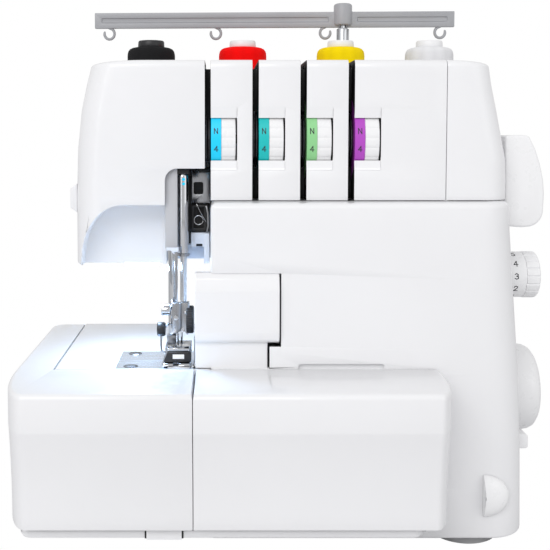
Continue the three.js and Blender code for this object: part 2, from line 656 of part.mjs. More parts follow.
function makeKnivesAndLoopers() {
  addPart('upper_knife', box(108, 109.8, 64.5, 74, 113, 128), STEEL);
  addPart('lower_knife', box(105.8, 107.5, 62, 74, 88, 109.2), STEEL);
  const lower = [[80, 68], [88, 68], [89, 76], [87.5, 92], [90.5, 101.5], [89, 103], [83.5, 96], [83, 78]];
  addPart('lower_looper', prismY(lower, 90, 92.4), CHROME);
  const upper = [[108.8, 68], [116.4, 68], [115.8, 92], [112, 106.5], [109.2, 108.5], [110.5, 92]];
  addPart('upper_looper', prismY(upper, 78, 80.4), CHROME);
  const dogs = join(
    box(89.2, 92.8, 66.5, 96.5, 103, 111.8),
    box(102.7, 104.7, 66.5, 96.5, 103, 111.8),
    box(89.2, 104.7, 93.6, 96.5, 100, 105),
  );
  addPart('feed_dog', dogs, STEEL);
}

// ---------------------------------------------------------------- thread stand
function makeSpoolStand() {
  const plan = [
    ...arc(53, 278, 10, 10, 90, 180, 4),
    [43, BODY_BACK_Y + GAP],
    [315, BODY_BACK_Y + GAP],
    ...arc(305, 278, 10, 10, 0, 90, 4),
  ];
  let stand = prismZ(plan, STAND_Z - 6, STAND_Z - 1);
  for (const x of SPOOLS_X) {
    stand = join(stand, rodZ(2.5, x, SPOOL_Y, STAND_Z - 2, SPOOL_TOP_Z - 3, 12));
  }
  const socket = rodZ(7.4, POLE.x, POLE.y, STAND_Z - 12, STAND_Z + 6);
  stand = join(stand, socket).subtract(rodZ(5.6, POLE.x, POLE.y, STAND_Z - 9, STAND_Z + 8));
  addPart('spool_stand', stand, WHITE);
}

function makeSpools() {
  const z0 = STAND_Z - 0.6;
  const profile = [
    [3, z0], [22, z0], [22, z0 + 3], [18.6, 317], [15, 321], [10.6, 321.4],
    [10.2, SPOOL_TOP_Z], [3, SPOOL_TOP_Z],
  ];
  SPOOLS_X.forEach((x, index) => {
    const look = { color: THREAD_COLOURS[index], roughness: 0.8, metalness: 0 };
    addPart(`thread_spool_${index + 1}`, turnedZ(profile, x, SPOOL_Y, 22), look);
  });
}

function makeAntenna() {
  const { x, y } = POLE;
  const outer = rodZ(5.2, x, y, STAND_Z - 8.6, 339.6, 20).subtract(rodZ(4.4, x, y, STAND_Z - 6, 345));
  addPart('pole_outer', outer, CHROME);
  const middle = rodZ(4.1, x, y, STAND_Z - 5.6, 340.2, 20).subtract(rodZ(2.8, x, y, STAND_Z - 3, 345));
  addPart('pole_middle', middle, CHROME);
  addPart('pole_inner', rodZ(2.5, x, y, STAND_Z + 14, 358, 16), CHROME);

  const barBottom = 340.6;
  const barTop = 353.6;
  let bar = box(-206, 91, -2, 2, barBottom, barTop);
  bar = join(bar, rodZ(7.5, 0, 0, 342.4, 360.3));
  for (const [index, offset] of HOOK_OFFSETS.entries()) {
    const side = index < 2 ? 1 : -1;
    const loop = prismY(
      [...arc(offset, 336.4, 5, 5.4, 90, 90 - side * 300, 12), ...arc(offset, 336.4, 3.2, 3.4, 90 - side * 300, 90, 12)],
      -1.2,
      1.2,
    );
    bar = join(bar, loop, box(offset - 1, offset + 1, -1.2, 1.2, 340, 342));
  }
  bar = bar.subtract(rodZ(2.8, 0, 0, 330, 358.4));
  const turned = bar.rotate([0, 0, -ANTENNA_TURN_DEG]).translate([x, y, 0]);
  addPart('antenna_bar', turned, GREY);
}

makeBase();
makeFeet();
makeBedFloor();
makeLeftExtension();
makeLooperCover();
makeFreeArm();
makeNeedlePlate();
makeFrontHousing();
makeRearHousing();
makeTensionPanel();
makeTensionDials();
makeEndCap();
makeFaceCover();
makeKnifeGuard();
makeControls();
makeHandwheel();
makeDrive();
makeHeadFrame();
makeNeedles();
makePresser();
makeKnivesAndLoopers();
makeSpoolStand();
makeSpools();
makeAntenna();

export default group;
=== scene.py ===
import math

import bmesh
import bpy
from mathutils import Matrix, Vector


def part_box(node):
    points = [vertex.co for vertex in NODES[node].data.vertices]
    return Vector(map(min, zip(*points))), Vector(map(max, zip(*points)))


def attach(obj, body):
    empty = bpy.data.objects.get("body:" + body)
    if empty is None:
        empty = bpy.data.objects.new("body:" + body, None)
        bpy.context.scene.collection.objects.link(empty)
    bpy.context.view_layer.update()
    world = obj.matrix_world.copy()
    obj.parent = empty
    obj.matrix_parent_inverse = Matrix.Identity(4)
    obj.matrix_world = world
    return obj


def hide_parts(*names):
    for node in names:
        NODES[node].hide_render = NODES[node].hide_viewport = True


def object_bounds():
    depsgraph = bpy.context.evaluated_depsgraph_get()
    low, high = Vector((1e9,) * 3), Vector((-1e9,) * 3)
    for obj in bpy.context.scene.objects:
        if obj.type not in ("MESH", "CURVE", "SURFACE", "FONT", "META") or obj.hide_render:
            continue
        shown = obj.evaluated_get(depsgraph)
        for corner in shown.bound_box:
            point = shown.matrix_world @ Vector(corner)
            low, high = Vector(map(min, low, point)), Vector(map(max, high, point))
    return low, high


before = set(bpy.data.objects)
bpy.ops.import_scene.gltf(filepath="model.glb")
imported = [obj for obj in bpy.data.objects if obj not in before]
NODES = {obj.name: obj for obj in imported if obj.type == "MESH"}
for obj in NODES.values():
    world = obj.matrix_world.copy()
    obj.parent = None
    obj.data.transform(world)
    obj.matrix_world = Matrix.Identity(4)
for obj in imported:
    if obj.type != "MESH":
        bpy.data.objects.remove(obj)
CAD_BOX = [list(corner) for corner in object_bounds()]

# Everything below is laid out in millimetres from the lowest corner of the object's box: x to the
# right, y away from the front, z up from the table. SHIFT carries that to the frame.
SHIFT = Vector(CAD_BOX[0])


def place(x, y, z):
    return Vector((x / 1000, y / 1000, z / 1000)) + SHIFT


def centre_of(node_name, axes):
    """The middle of a CAD node's box along the named axes, in this script's millimetres."""
    low, high = (Vector(corner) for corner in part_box(node_name))
    middle = ((low + high) / 2 - SHIFT) * 1000
    return tuple(round(middle["xyz".index(axis)], 2) for axis in axes)


# ------------------------------------------------------------------ materials
def node(tree, kind, **values):
    made = tree.nodes.new(kind)
    for key, value in values.items():
        setattr(made, key, value)
    return made


def noise(tree, coords, scale, detail=3.0):
    made = node(tree, "ShaderNodeTexNoise")
    made.inputs["Scale"].default_value = scale
    made.inputs["Detail"].default_value = detail
    tree.links.new(coords, made.inputs["Vector"])
    return made.outputs["Fac"]


def ranged(tree, value, low, high, start=0.3, end=0.7):
    made = node(tree, "ShaderNodeMapRange")
    made.inputs["From Min"].default_value = start
    made.inputs["From Max"].default_value = end
    made.inputs["To Min"].default_value = low
    made.inputs["To Max"].default_value = high
    tree.links.new(value, made.inputs["Value"])
    return made.outputs["Result"]


def mixed(tree, factor, first, second):
    made = node(tree, "ShaderNodeMix", data_type="RGBA")
    tree.links.new(factor, made.inputs[0])
    made.inputs[6].default_value = (*first, 1)
    made.inputs[7].default_value = (*second, 1)
    return made.outputs[2]


def bumped(tree, height, strength, distance, under=None):
    made = node(tree, "ShaderNodeBump")
    made.inputs["Strength"].default_value = strength
    made.inputs["Distance"].default_value = distance
    tree.links.new(height, made.inputs["Height"])
    if under is not None:
        tree.links.new(under, made.inputs["Normal"])
    return made.outputs["Normal"]


def material(name, color, roughness, metallic=0.0, mottle=0.02, grain=1500, grain_height=0.00002,
             grain_strength=0.25, stretch=(1, 1, 1), spread=0.05, coat=0.0, glow=None):
    """A moulded or machined finish: slow colour drift, uneven gloss and a fine surface grain."""
    made = bpy.data.materials.new(name)
    made.use_nodes = True
    made.diffuse_color = (*color, 1)
    tree = made.node_tree
    shader = tree.nodes["Principled BSDF"]
    coords = node(tree, "ShaderNodeTexCoord").outputs["Object"]
    mapping = node(tree, "ShaderNodeMapping")
    mapping.inputs["Scale"].default_value = stretch
    tree.links.new(coords, mapping.inputs["Vector"])
    drift = ranged(tree, noise(tree, coords, 22.0, 4.0), 0.0, 1.0)
    darker = tuple(c * (1 - mottle) for c in color)
    lighter = tuple(min(c * (1 + mottle), 1.0) for c in color)
    tree.links.new(mixed(tree, drift, darker, lighter), shader.inputs["Base Color"])
    patches = noise(tree, mapping.outputs["Vector"], 160.0)
    gloss = ranged(tree, patches, roughness - spread, roughness + spread)
    tree.links.new(gloss, shader.inputs["Roughness"])
    fine = noise(tree, mapping.outputs["Vector"], grain, 2.0)
    tree.links.new(bumped(tree, fine, grain_strength, grain_height), shader.inputs["Normal"])
    shader.inputs["Metallic"].default_value = metallic
    shader.inputs["Coat Weight"].default_value = coat
    if glow:
        shader.inputs["Emission Color"].default_value = (*glow[:3], 1)
        shader.inputs["Emission Strength"].default_value = glow[3]
    return made


def thread(name, color, strands):
    """Cross-wound thread on a cone: two sets of fine helical ridges round the piece's own axis, with painted
    shade darkening the troughs between them.
    """
    made = material(name, color, 0.8, mottle=0.06, grain=3000, grain_strength=0.3)
    made.node_tree.nodes["Principled BSDF"].inputs["Specular IOR Level"].default_value = 0.15
    tree = made.node_tree
    shader = tree.nodes["Principled BSDF"]
    split = node(tree, "ShaderNodeSeparateXYZ")
    tree.links.new(node(tree, "ShaderNodeTexCoord").outputs["Object"], split.inputs["Vector"])
    angle = node(tree, "ShaderNodeMath", operation="ARCTAN2")
    tree.links.new(split.outputs["Y"], angle.inputs[0])
    tree.links.new(split.outputs["X"], angle.inputs[1])
    waves = []
    for turns in (6.0, -6.0):
        wound = node(tree, "ShaderNodeMath", operation="MULTIPLY_ADD")
        wound.inputs[1].default_value = turns
        tree.links.new(angle.outputs[0], wound.inputs[0])
        rise = node(tree, "ShaderNodeMath", operation="MULTIPLY")
        rise.inputs[1].default_value = strands
        tree.links.new(split.outputs["Z"], rise.inputs[0])
        tree.links.new(rise.outputs[0], wound.inputs[2])
        wave = node(tree, "ShaderNodeMath", operation="SINE")
        tree.links.new(wound.outputs[0], wave.inputs[0])
        waves.append(wave.outputs[0])
    top = node(tree, "ShaderNodeMath", operation="MAXIMUM")
    tree.links.new(waves[0], top.inputs[0])
    tree.links.new(waves[1], top.inputs[1])
    grain = shader.inputs["Normal"].links[0].from_socket
    tree.links.new(bumped(tree, top.outputs[0], 0.6, 0.00018, grain), shader.inputs["Normal"])
    # Painted shade: the base colour darkens in the troughs between the wound ridges.
    shade = ranged(tree, top.outputs[0], 0.0, 1.0, -0.4, 1.0)
    trough_shade_colour = tuple(c * 0.86 for c in color)
    tree.links.new(mixed(tree, shade, trough_shade_colour, color), shader.inputs["Base Color"])
    return made


SHELL = material("white_shell", (0.80, 0.80, 0.815), 0.34, mottle=0.008, grain=2600, grain_strength=0.06,
                 coat=0.3)
CONTROL = material("white_control", (0.83, 0.83, 0.84), 0.30, mottle=0.008, grain=2600, grain_strength=0.1)
BASE = material("grey_base", (0.50, 0.50, 0.51), 0.5, mottle=0.03, grain=1200, grain_strength=0.3)
GREY = material("grey_plastic", (0.355, 0.36, 0.38), 0.42, mottle=0.04, grain=1500, grain_strength=0.2)
DARK = material("dark_plastic", (0.012, 0.012, 0.014), 0.42, mottle=0.2, grain=1500, grain_strength=0.3)
# Black that stands for the shade inside slots, gaps, vents and dial windows: painted shade.
PAINTED_SHADE = material("painted_slot_shade", (0.004, 0.004, 0.005), 0.6, mottle=0.2, grain=1500, grain_strength=0.3)
BELT = material("belt_rubber", (0.02, 0.02, 0.022), 0.72, mottle=0.2, grain=900, grain_strength=0.6)
FOOT = material("foot_rubber", (0.36, 0.36, 0.37), 0.7, mottle=0.06, grain=900, grain_strength=0.6)
STEEL = material("steel", (0.34, 0.345, 0.36), 0.28, 1.0, 0.05, 2200, stretch=(1, 1, 0.08), spread=0.07)
PLATE = material("brushed_plate", (0.76, 0.84, 0.95), 0.24, 1.0, 0.04, 2400, stretch=(0.06, 1, 1),
                 spread=0.08)
CAST = material("cast_frame", (0.32, 0.325, 0.335), 0.6, 0.8, 0.1, 700, 0.00008, 0.6)
CHROME = material("chrome", (0.55, 0.56, 0.58), 0.09, 1.0, 0.01, 1800, grain_strength=0.06, spread=0.02)
LENS = material("lamp_lens", (0.85, 0.9, 1.0), 0.3, mottle=0.01, glow=(0.8, 0.9, 1.0, 3.0))
CYAN = material("dial_cyan", (0.0, 0.62, 0.95), 0.35, mottle=0.03)
TEAL = material("dial_teal", (0.0, 0.50, 0.50), 0.35, mottle=0.03)
GREEN = material("dial_green", (0.27, 0.62, 0.27), 0.35, mottle=0.03)
PURPLE = material("dial_purple", (0.44, 0.06, 0.52), 0.35, mottle=0.03)
# Grey for the plates in the bay, and painted shade on the head cover's walls round the bay.
BAY_GREY_AND_SHADE = material("bay_grey_and_shade", (0.50, 0.505, 0.53), 0.5, mottle=0.06, grain=1200)
# Bluish white where the lamp's light falls low in the bay: painted light.
BAY_LAMP_LIGHT = material("bay_painted_lamp_light", (0.72, 0.78, 0.88), 0.4, mottle=0.04, grain=1600)
# Tension discs darkened to the shade they sit in inside the slots: painted shade.
DISC_IN_SHADE = material("disc_steel_painted_shade", (0.05, 0.05, 0.055), 0.3, 1.0, mottle=0.1, grain=1800)
INK = material("dial_ink", (0.02, 0.02, 0.025), 0.5, mottle=0.1)
STRANDS = 9000
THREADS = [
    thread("thread_black", (0.012, 0.012, 0.013), STRANDS),
    thread("thread_red", (1.0, 0.0, 0.0), STRANDS),
    thread("thread_yellow", (1.0, 0.74, 0.0), STRANDS),
    thread("thread_white", (0.84, 0.84, 0.86), STRANDS),
]
CORE = material("spool_core", (0.80, 0.80, 0.81), 0.4, mottle=0.02, grain=1600)


# ------------------------------------------------------------------ mesh building, in millimetres
def solid(verts, faces, finish=None):
    mesh = bpy.data.meshes.new("solid")
    mesh.from_pydata([tuple(v) for v in verts], [], faces)
    made = bmesh.new()
    made.from_mesh(mesh)
    bmesh.ops.remove_doubles(made, verts=made.verts, dist=0.0005)
    bmesh.ops.recalc_face_normals(made, faces=made.faces)
    made.to_mesh(mesh)
    made.free()
    obj = bpy.data.objects.new("solid", mesh)
    bpy.context.scene.collection.objects.link(obj)
    if finish:
        mesh.materials.append(finish)
    return obj


def loft(rings, finish=None):
    """A closed skin over rings of equal length, capped at both ends."""
    count = len(rings[0])
    verts = [v for ring in rings for v in ring]
    faces = []
    for level in range(len(rings) - 1):
        a = level * count
        b = a + count
        for i in range(count):
            j = (i + 1) % count
            faces.append((a + i, a + j, b + j, b + i))
    faces.append(tuple(reversed(range(count))))
    faces.append(tuple(range(len(verts) - count, len(verts))))
    return solid(verts, faces, finish)


def turned(points, axis):
    """Puts (a, b, h) points along an axis: x gives (h, a, b), y (a, h, b), z (a, b, h)."""
    order = {
        "x": lambda a, b, h: (h, a, b),
        "y": lambda a, b, h: (a, h, b),
        "z": lambda a, b, h: (a, b, h),
    }
    return [order[axis](a, b, h) for a, b, h in points]


def prism(outline, axis, start, end, finish=None):
    rings = [turned([(a, b, h) for a, b in outline], axis) for h in (start, end)]
    return loft(rings, finish)


def slab(x0, x1, y0, y1, z0, z1, finish=None):
    return prism([(x0, y0), (x1, y0), (x1, y1), (x0, y1)], "z", z0, z1, finish)


def ring_points(radius, count, phase=0.0):
    step = 2 * math.pi / count
    return [(radius * math.cos(phase + step * i), radius * math.sin(phase + step * i)) for i in range(count)]


def lathe(profile, axis, centre, count=64, finish=None):
    """profile is (radius, height) pairs from one end of the axis to the other."""
    rings = []
    for radius, height in profile:
        ring = [(centre[0] + a, centre[1] + b, height) for a, b in ring_points(max(radius, 0.0004), count)]
        rings.append(turned(ring, axis))
    return loft(rings, finish)


def tube(path, radius, count=12, finish=None):
    """A round wire along a path, with radius one number or one for each point."""
    points = [Vector(p) for p in path]
    radii = radius if isinstance(radius, (list, tuple)) else [radius] * len(points)
    rings = []
    side = None
    for i, point in enumerate(points):
        ahead = points[min(i + 1, len(points) - 1)] - points[max(i - 1, 0)]
        ahead.normalize()
        if side is None:
            side = ahead.cross(Vector((0.3, 0.9, 0.2))).normalized()
        side = (side - ahead * side.dot(ahead)).normalized()
        other = ahead.cross(side)
        rings.append([point + side * a + other * b for a, b in ring_points(radii[i], count)])
    return loft(rings, finish)


def arc(cx, cy, rx, ry, start, end, count=10):
    step = math.radians(end - start) / count
    begin = math.radians(start)
    turns = [begin + step * i for i in range(count + 1)]
    return [(cx + rx * math.cos(turn), cy + ry * math.sin(turn)) for turn in turns]


def combine(obj, tools, operation):
    for tool in tools:
        change = obj.modifiers.new("join", "BOOLEAN")
        change.operation = operation
        change.solver = "EXACT"
        change.material_mode = "TRANSFER"
        change.object = tool
        applied(obj)
        bpy.data.objects.remove(tool)
    return obj


def applied(obj):
    graph = bpy.context.evaluated_depsgraph_get()
    mesh = bpy.data.meshes.new_from_object(obj.evaluated_get(graph), depsgraph=graph)
    obj.modifiers.clear()
    obj.data = mesh
    return obj


def cut(obj, *tools):
    return combine(obj, tools, "DIFFERENCE")


def fuse(obj, *tools):
    return combine(obj, tools, "UNION")


def common(obj, *tools):
    return combine(obj, tools, "INTERSECT")


def gather(*objects):
    """Several closed skins in one mesh, without merging them."""
    whole = bmesh.new()
    finishes = []
    for obj in objects:
        start = len(whole.faces)
        whole.from_mesh(obj.data)
        slots = []
        for finish in obj.data.materials:
            if finish not in finishes:
                finishes.append(finish)
            slots.append(finishes.index(finish))
        whole.faces.ensure_lookup_table()
        for face in whole.faces[start:]:
            face.material_index = slots[face.material_index] if slots else 0
        bpy.data.objects.remove(obj)
    mesh = bpy.data.meshes.new("gathered")
    whole.to_mesh(mesh)
    whole.free()
    for finish in finishes:
        mesh.materials.append(finish)
    made = bpy.data.objects.new("gathered", mesh)
    bpy.context.scene.collection.objects.link(made)
    return made


def piece(obj, name, body, finish, stands_for=(), bevel=0.4, steps=2, angle=32, origin=None):
    """Softens the edges, carries the piece to the frame, and puts it on its body."""
    if not obj.data.materials:
        obj.data.materials.append(finish)
    if bevel:
        soften = obj.modifiers.new("soften", "BEVEL")
        soften.width = bevel
        soften.segments = steps
        soften.limit_method = "ANGLE"
        soften.angle_limit = math.radians(angle)
        soften.use_clamp_overlap = False
        soften.miter_outer = "MITER_ARC"
        applied(obj)
    base = Vector((0, 0, 0)) if origin is None else Vector(origin)
    obj.data.transform(Matrix.Translation(-base))
    obj.data.transform(Matrix.Scale(0.001, 4))
    obj.data.shade_smooth()
    obj.data.set_sharp_from_angle(angle=math.radians(angle))
    obj.location = place(*base)
    obj.name = name
    obj.data.name = name
    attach(obj, body)
    if stands_for:
        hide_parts(*stands_for)
    return obj


# ------------------------------------------------------------------ shell outlines
def straight(z, table):
    """The value at height z between (z, value) points joined by straight lines."""
    for (z0, v0), (z1, v1) in zip(table, table[1:]):
        if z <= z1:
            return v0 + (v1 - v0) * (z - z0) / (z1 - z0)
    return table[-1][1]


SEAM_X = 109.2
COVER_RIGHT = 257.0
BED_TOP = 111.5
LEDGE = 211.8
SPLIT = 124.0
FRONT = 76.0
TOP = 299.0
SLOTS = [116.4 + 29.6 * i for i in range(4)]
HALF_SLOT = 1.9
WALL = 3.0
COVER_WALL = 2.5
DIAL_AXIS = centre_of("tension_dial_1", "yz")
LENGTH_AXIS = centre_of("stitch_length_dial", "yz")
HAND_AXIS = centre_of("handwheel", "yz")
NEEDLE_AXIS = centre_of("needle_bar", "xy")
PRESSER_AXIS = centre_of("presser_bar", "xy")
POLE_AXIS = centre_of("pole_outer", "xy")
BODY_LEFT = 118.4
BODY_RIGHT = [(0, 313.6), (60, 312.6), (105, 310.6), (200, 303.4), (212, 303.2)]
HEAD_LEFT = [(150, 32.6), (215, 32.6), (245, 33.6), (268, 36.0), (284, 39.3), (294.4, 42.0)]
HEAD_RIGHT = [(150, 304.5), (225, 304.5), (238, 304.0), (268, 298.0), (284, 294.6), (294.4, 293.0)]


def rounded_box(x0, x1, y0, y1, fl, fr, br, bl, count=10):
    """A plan with an (x, y) radius at each corner: front left, front right, back right, back left."""
    return [
        *arc(x0 + fl[0], y0 + fl[1], fl[0], fl[1], 180, 270, count),
        *arc(x1 - fr[0], y0 + fr[1], fr[0], fr[1], -90, 0, count),
        *arc(x1 - br[0], y1 - br[1], br[0], br[1], 0, 90, count),
        *arc(x0 + bl[0], y1 - bl[1], bl[0], bl[1], 90, 180, count),
    ]


def edge_steps(z0, z1, low, high, spacing=14.0):
    """(z, inset) levels for a wall whose bottom and top edges are rounded to radius low and high."""
    levels = []
    for i in range(5):
        t = math.radians(90 - 22.5 * i)
        levels.append((z0 + low - low * math.sin(t), low - low * math.cos(t)))
    count = max(2, int((z1 - z0 - low - high) / spacing))
    for i in range(1, count):
        levels.append((z0 + low + (z1 - z0 - low - high) * i / count, 0.0))
    for i in range(6):
        t = math.radians(18 * i)
        levels.append((z1 - high + high * math.sin(t), high - high * math.cos(t)))
    return levels


def at_height(points, z):
    return [(x, y, z) for x, y in points]


def lower_body(inset=0.0, z0=6.4, z1=LEDGE, low=1.5, high=3.4):
    def plan(z, e):
        right = straight(z, BODY_RIGHT) - e
        corner = max(24 - e, 1)
        small = max(2.2 - e, 0.3)
        return rounded_box(BODY_LEFT + e, right, 56 + e, 220 - e, (small, small), (corner, corner),
                           (max(14 - e, 1),) * 2, (small, small))
    return loft([at_height(plan(z, e + inset), z) for z, e in edge_steps(z0, z1, low, high)], SHELL)


def upper_bar(inset=0.0, z0=170.0, z1=TOP):
    def plan(z, e, left_in, right_in):
        left = straight(z, HEAD_LEFT) + e + left_in
        right = straight(z, HEAD_RIGHT) - e - right_in
        corners = [(a - e / 2, b - e / 2) for a, b in ((18, 22), (15, 15), (18, 18), (18, 18))]
        return rounded_box(left, right, FRONT + e, 220 - e, *corners, 14)
    rings = []
    for i in range(5):
        t = math.radians(90 - 22.5 * i)
        low = 2.4 if not inset else 0.4
        rings.append(at_height(plan(z0 + low - low * math.sin(t), low - low * math.cos(t) + inset, 0, 0),
                               z0 + low - low * math.sin(t)))
    for z in (180, 192, 204, 215, 224, 231, 238, 245, 252, 260, 268, 276, 284, 290):
        rings.append(at_height(plan(z, inset, 0, 0), z))
    high = 4.6
    for i in range(9):
        t = math.radians(11.25 * i)
        z = z1 - high + high * math.sin(t)
        roll = 1 - math.cos(t)
        rings.append(at_height(plan(z, high * roll + inset, 19 * roll ** 1.5, 18 * roll ** 1.5), z))
    return loft(rings, SHELL)


def cover_front(z):
    """How far the covers' front face leans in below its crease."""
    return 7.5 * (1 - (1 - (90 - z) / 57.7) ** 2) if z < 90 else 0.0


def extension_skin(inset=0.0, z0=32.3, z1=BED_TOP, high=3.2):
    def plan(z, e):
        front = cover_front(z)
        seam = min(e, 0.5) + (inset if e >= inset else 0)
        return [
            *arc(16, front + 58, 16 - e, 58 - e, 180, 270, 22),
            (SEAM_X - 0.4 - seam, front + e),
            (SEAM_X - 0.4 - seam, 55.4 - seam),
            (24 - seam, 55.4 - seam),
            (24 - seam, 190 - e),
            *arc(10, 180, 10 - e, 10 - e, 90, 180, 8),
        ]
    return loft([at_height(plan(z, e + inset), z) for z, e in cover_levels(z0, z1, high)], SHELL)


def cover_levels(z0, z1, high):
    levels = [(z0, 0.5), (z0 + 0.5, 0.0)]
    levels += [(z, 0.0) for z in (40, 47, 54, 61, 67, 73, 78, 82, 85.5, 88, 89.6, 90.4, 100)]
    for i in range(7):
        t = math.radians(15 * i)
        levels.append((z1 - high + high * math.sin(t), high - high * math.cos(t)))
    return levels


def looper_cover_skin(inset=0.0, z0=32.3, z1=BED_TOP, high=3.2):
    def plan(z, e):
        front = cover_front(z)
        seam = min(e, 0.5) + inset
        back = 55.4 + (2.0 if inset else -min(e, 0.5))
        return [
            (SEAM_X + seam, front + e),
            *arc(COVER_RIGHT - 12, front + 47, 12 - e, 47 - e, -90, 0, 20),
            (COVER_RIGHT - e, back),
            (SEAM_X + seam, back),
        ]
    return loft([at_height(plan(z, e + inset), z) for z, e in cover_levels(z0, z1, high)], SHELL)


def dome(centre, radii, finish, count=32, half=False):
    """An ellipsoid, or its right-hand half that bulges towards the front from a flat back."""
    cx, cy, cz = centre
    rx, ry, rz = radii
    rings = []
    if half:
        for i in range(9):
            t = math.radians(i * 10.6)
            c = math.cos(t)
            outline = arc(0, 0, rx * c, rz * c, 90, -90, 24)
            rings.append([(cx + a, cy - ry * math.sin(t), cz + b) for a, b in outline])
        return loft(rings, finish)
    for i in range(1, 16):
        t = math.radians(-90 + 11.25 * i)
        outline = ring_points(math.cos(t), count)
        rings.append([(cx + a * rx, cy + b * ry, cz + rz * math.sin(t)) for a, b in outline])
    return loft(rings, finish)


def paint(obj, finish, test):
    """Gives the faces that pass the test, by centre and normal, another finish."""
    if finish.name not in obj.data.materials:
        obj.data.materials.append(finish)
    index = obj.data.materials.find(finish.name)
    for face in obj.data.polygons:
        if test(face.center, face.normal):
            face.material_index = index
    return obj


# ------------------------------------------------------------------ bed and covers
extension = cut(extension_skin(), extension_skin(COVER_WALL, 30.0, 109.0, 1.2))
piece(extension, "extension_shell", "extension", SHELL, ["left_extension"], 0.35)

looper_door = cut(looper_cover_skin(), looper_cover_skin(COVER_WALL, 30.0, 109.0, 1.2))
for lug_x in (117, 228):
    arm = prism([(8.6, 34), (12.5, 34), (12.5, 40), (8.2, 40)], "x", lug_x, lug_x + 5, SHELL)
    eye = lathe([(3.2, lug_x), (3.2, lug_x + 5)], "x", (12.5, 37), 32, SHELL)
    bore = lathe([(2.25, lug_x - 1), (2.25, lug_x + 6)], "x", (12.5, 37), 32, SHELL)
    looper_door = cut(fuse(looper_door, arm, eye), bore)
piece(looper_door, "looper_door", "looper_cover", SHELL, ["looper_cover"], 0.35)

skirt = loft([at_height(rounded_box(8 + e, 243 - e, 13.6 + e, 55, (8, 22), (9, 22), (1, 1), (1, 1)), z)
              for z, e in ((25.4, 1.2), (25.8, 0.4), (26.6, 0), (29.8, 0))], SHELL)
tab = slab(82.6, 102.4, 12.6, 18, 25.2, 31.2, SHELL)
# Black slabs for the gaps beside the tab: painted shade.
gaps = [slab(x, x + 1.1, 13.0, 18, 25.8, 31.2, PAINTED_SHADE) for x in (81.6, 102.3)]
piece(gather(skirt, tab, *gaps), "bed_skirt", "machine", SHELL, (), 0)

# ------------------------------------------------------------------ lower body
front_body = common(lower_body(), slab(0, 340, 0, SPLIT, 0, 230))
front_body = cut(
    front_body,
    common(lower_body(WALL, 0.0, LEDGE - WALL, 0.4, 0.8), slab(0, 340, 0, SPLIT + 5, -5, 230)),
    slab(121.4, 299, 80, SPLIT + 1, 200, 220),
    slab(124, 240, 50, 61, 38, 105),
    slab(117, 123.4, 60, 116, 64, 108),
    slab(117, 160.6, 50, 62.4, 125.6, 169.5, SHELL),
    # Thin black cuts draw the gap lines round the knife guard: painted shade.
    slab(160.3, 160.8, 50, 62.4, 125.4, 169.5, PAINTED_SHADE),
    slab(153, 160.8, 50, 62.4, 125.2, 125.7, PAINTED_SHADE),
    slab(117, 153.6, 50, 62.4, 111.9, 127, SHELL),
    slab(153.2, 153.9, 50, 62.4, 112, 127, PAINTED_SHADE),
    slab(117, 122.4, 79.6, 180.4, 7, 14.4),
    lathe([(4.6, 295), (4.6, 315)], "x", LENGTH_AXIS, 32),
    prism([(171.5, 111), (171.5, 113.4), (172.6, 114.4), (222.2, 114.4), (223.4, 113.4), (223.4, 111)],
          "y", 50, 58.6, SHELL),
)
piece(front_body, "front_body", "machine", SHELL, ["front_housing"], 0.35)

# ------------------------------------------------------------------ rear shell
rear = common(lower_body(), slab(0, 340, SPLIT + 0.4, 300, 0, 230))
bar_back = common(upper_bar(), slab(0, 340, SPLIT + 0.4, 300, 160, 310))
bar_back = cut(bar_back, slab(BODY_LEFT, 340, 90, 300, 160, LEDGE - 1))
rear = fuse(rear, bar_back)
rear = cut(
    rear,
    common(lower_body(WALL, 0.0, LEDGE + 4, 0.4, 0.8), slab(0, 340, 90, 300, -5, 230)),
    common(upper_bar(WALL, 173.0, 296.0), slab(0, BODY_LEFT - 2.8, 90, 300, 160, 310)),
    common(upper_bar(WALL, 173.0, 296.0), slab(100, 340, 90, 300, LEDGE + 3.2, 310)),
    slab(121.4, 299, 90, 217, 190, 224),
    slab(90, 128.4, 90, 215, 216, 290),
    lathe([(8, 295), (8, 315)], "x", HAND_AXIS, 40),
    slab(300, 315, 175.6, 198.4, 23.6, 42.4),
    slab(71, 81, 215, 222, 176, 208),
    slab(117, 122.4, 79.6, 180.4, 7, 14.4),
    # The top slots' walls take the black finish: painted shade.
    *[slab(x - HALF_SLOT, x + HALF_SLOT, 100, 230, 294, 310, PAINTED_SHADE) for x in SLOTS],
)
# Vents whose walls take the black finish: painted shade.
for z in (150, 158, 166):
    rear = cut(rear, slab(180, 250, 216, 222, z, z + 3, PAINTED_SHADE))
piece(rear, "rear_shell", "machine", SHELL, ["rear_housing"], 0.35)

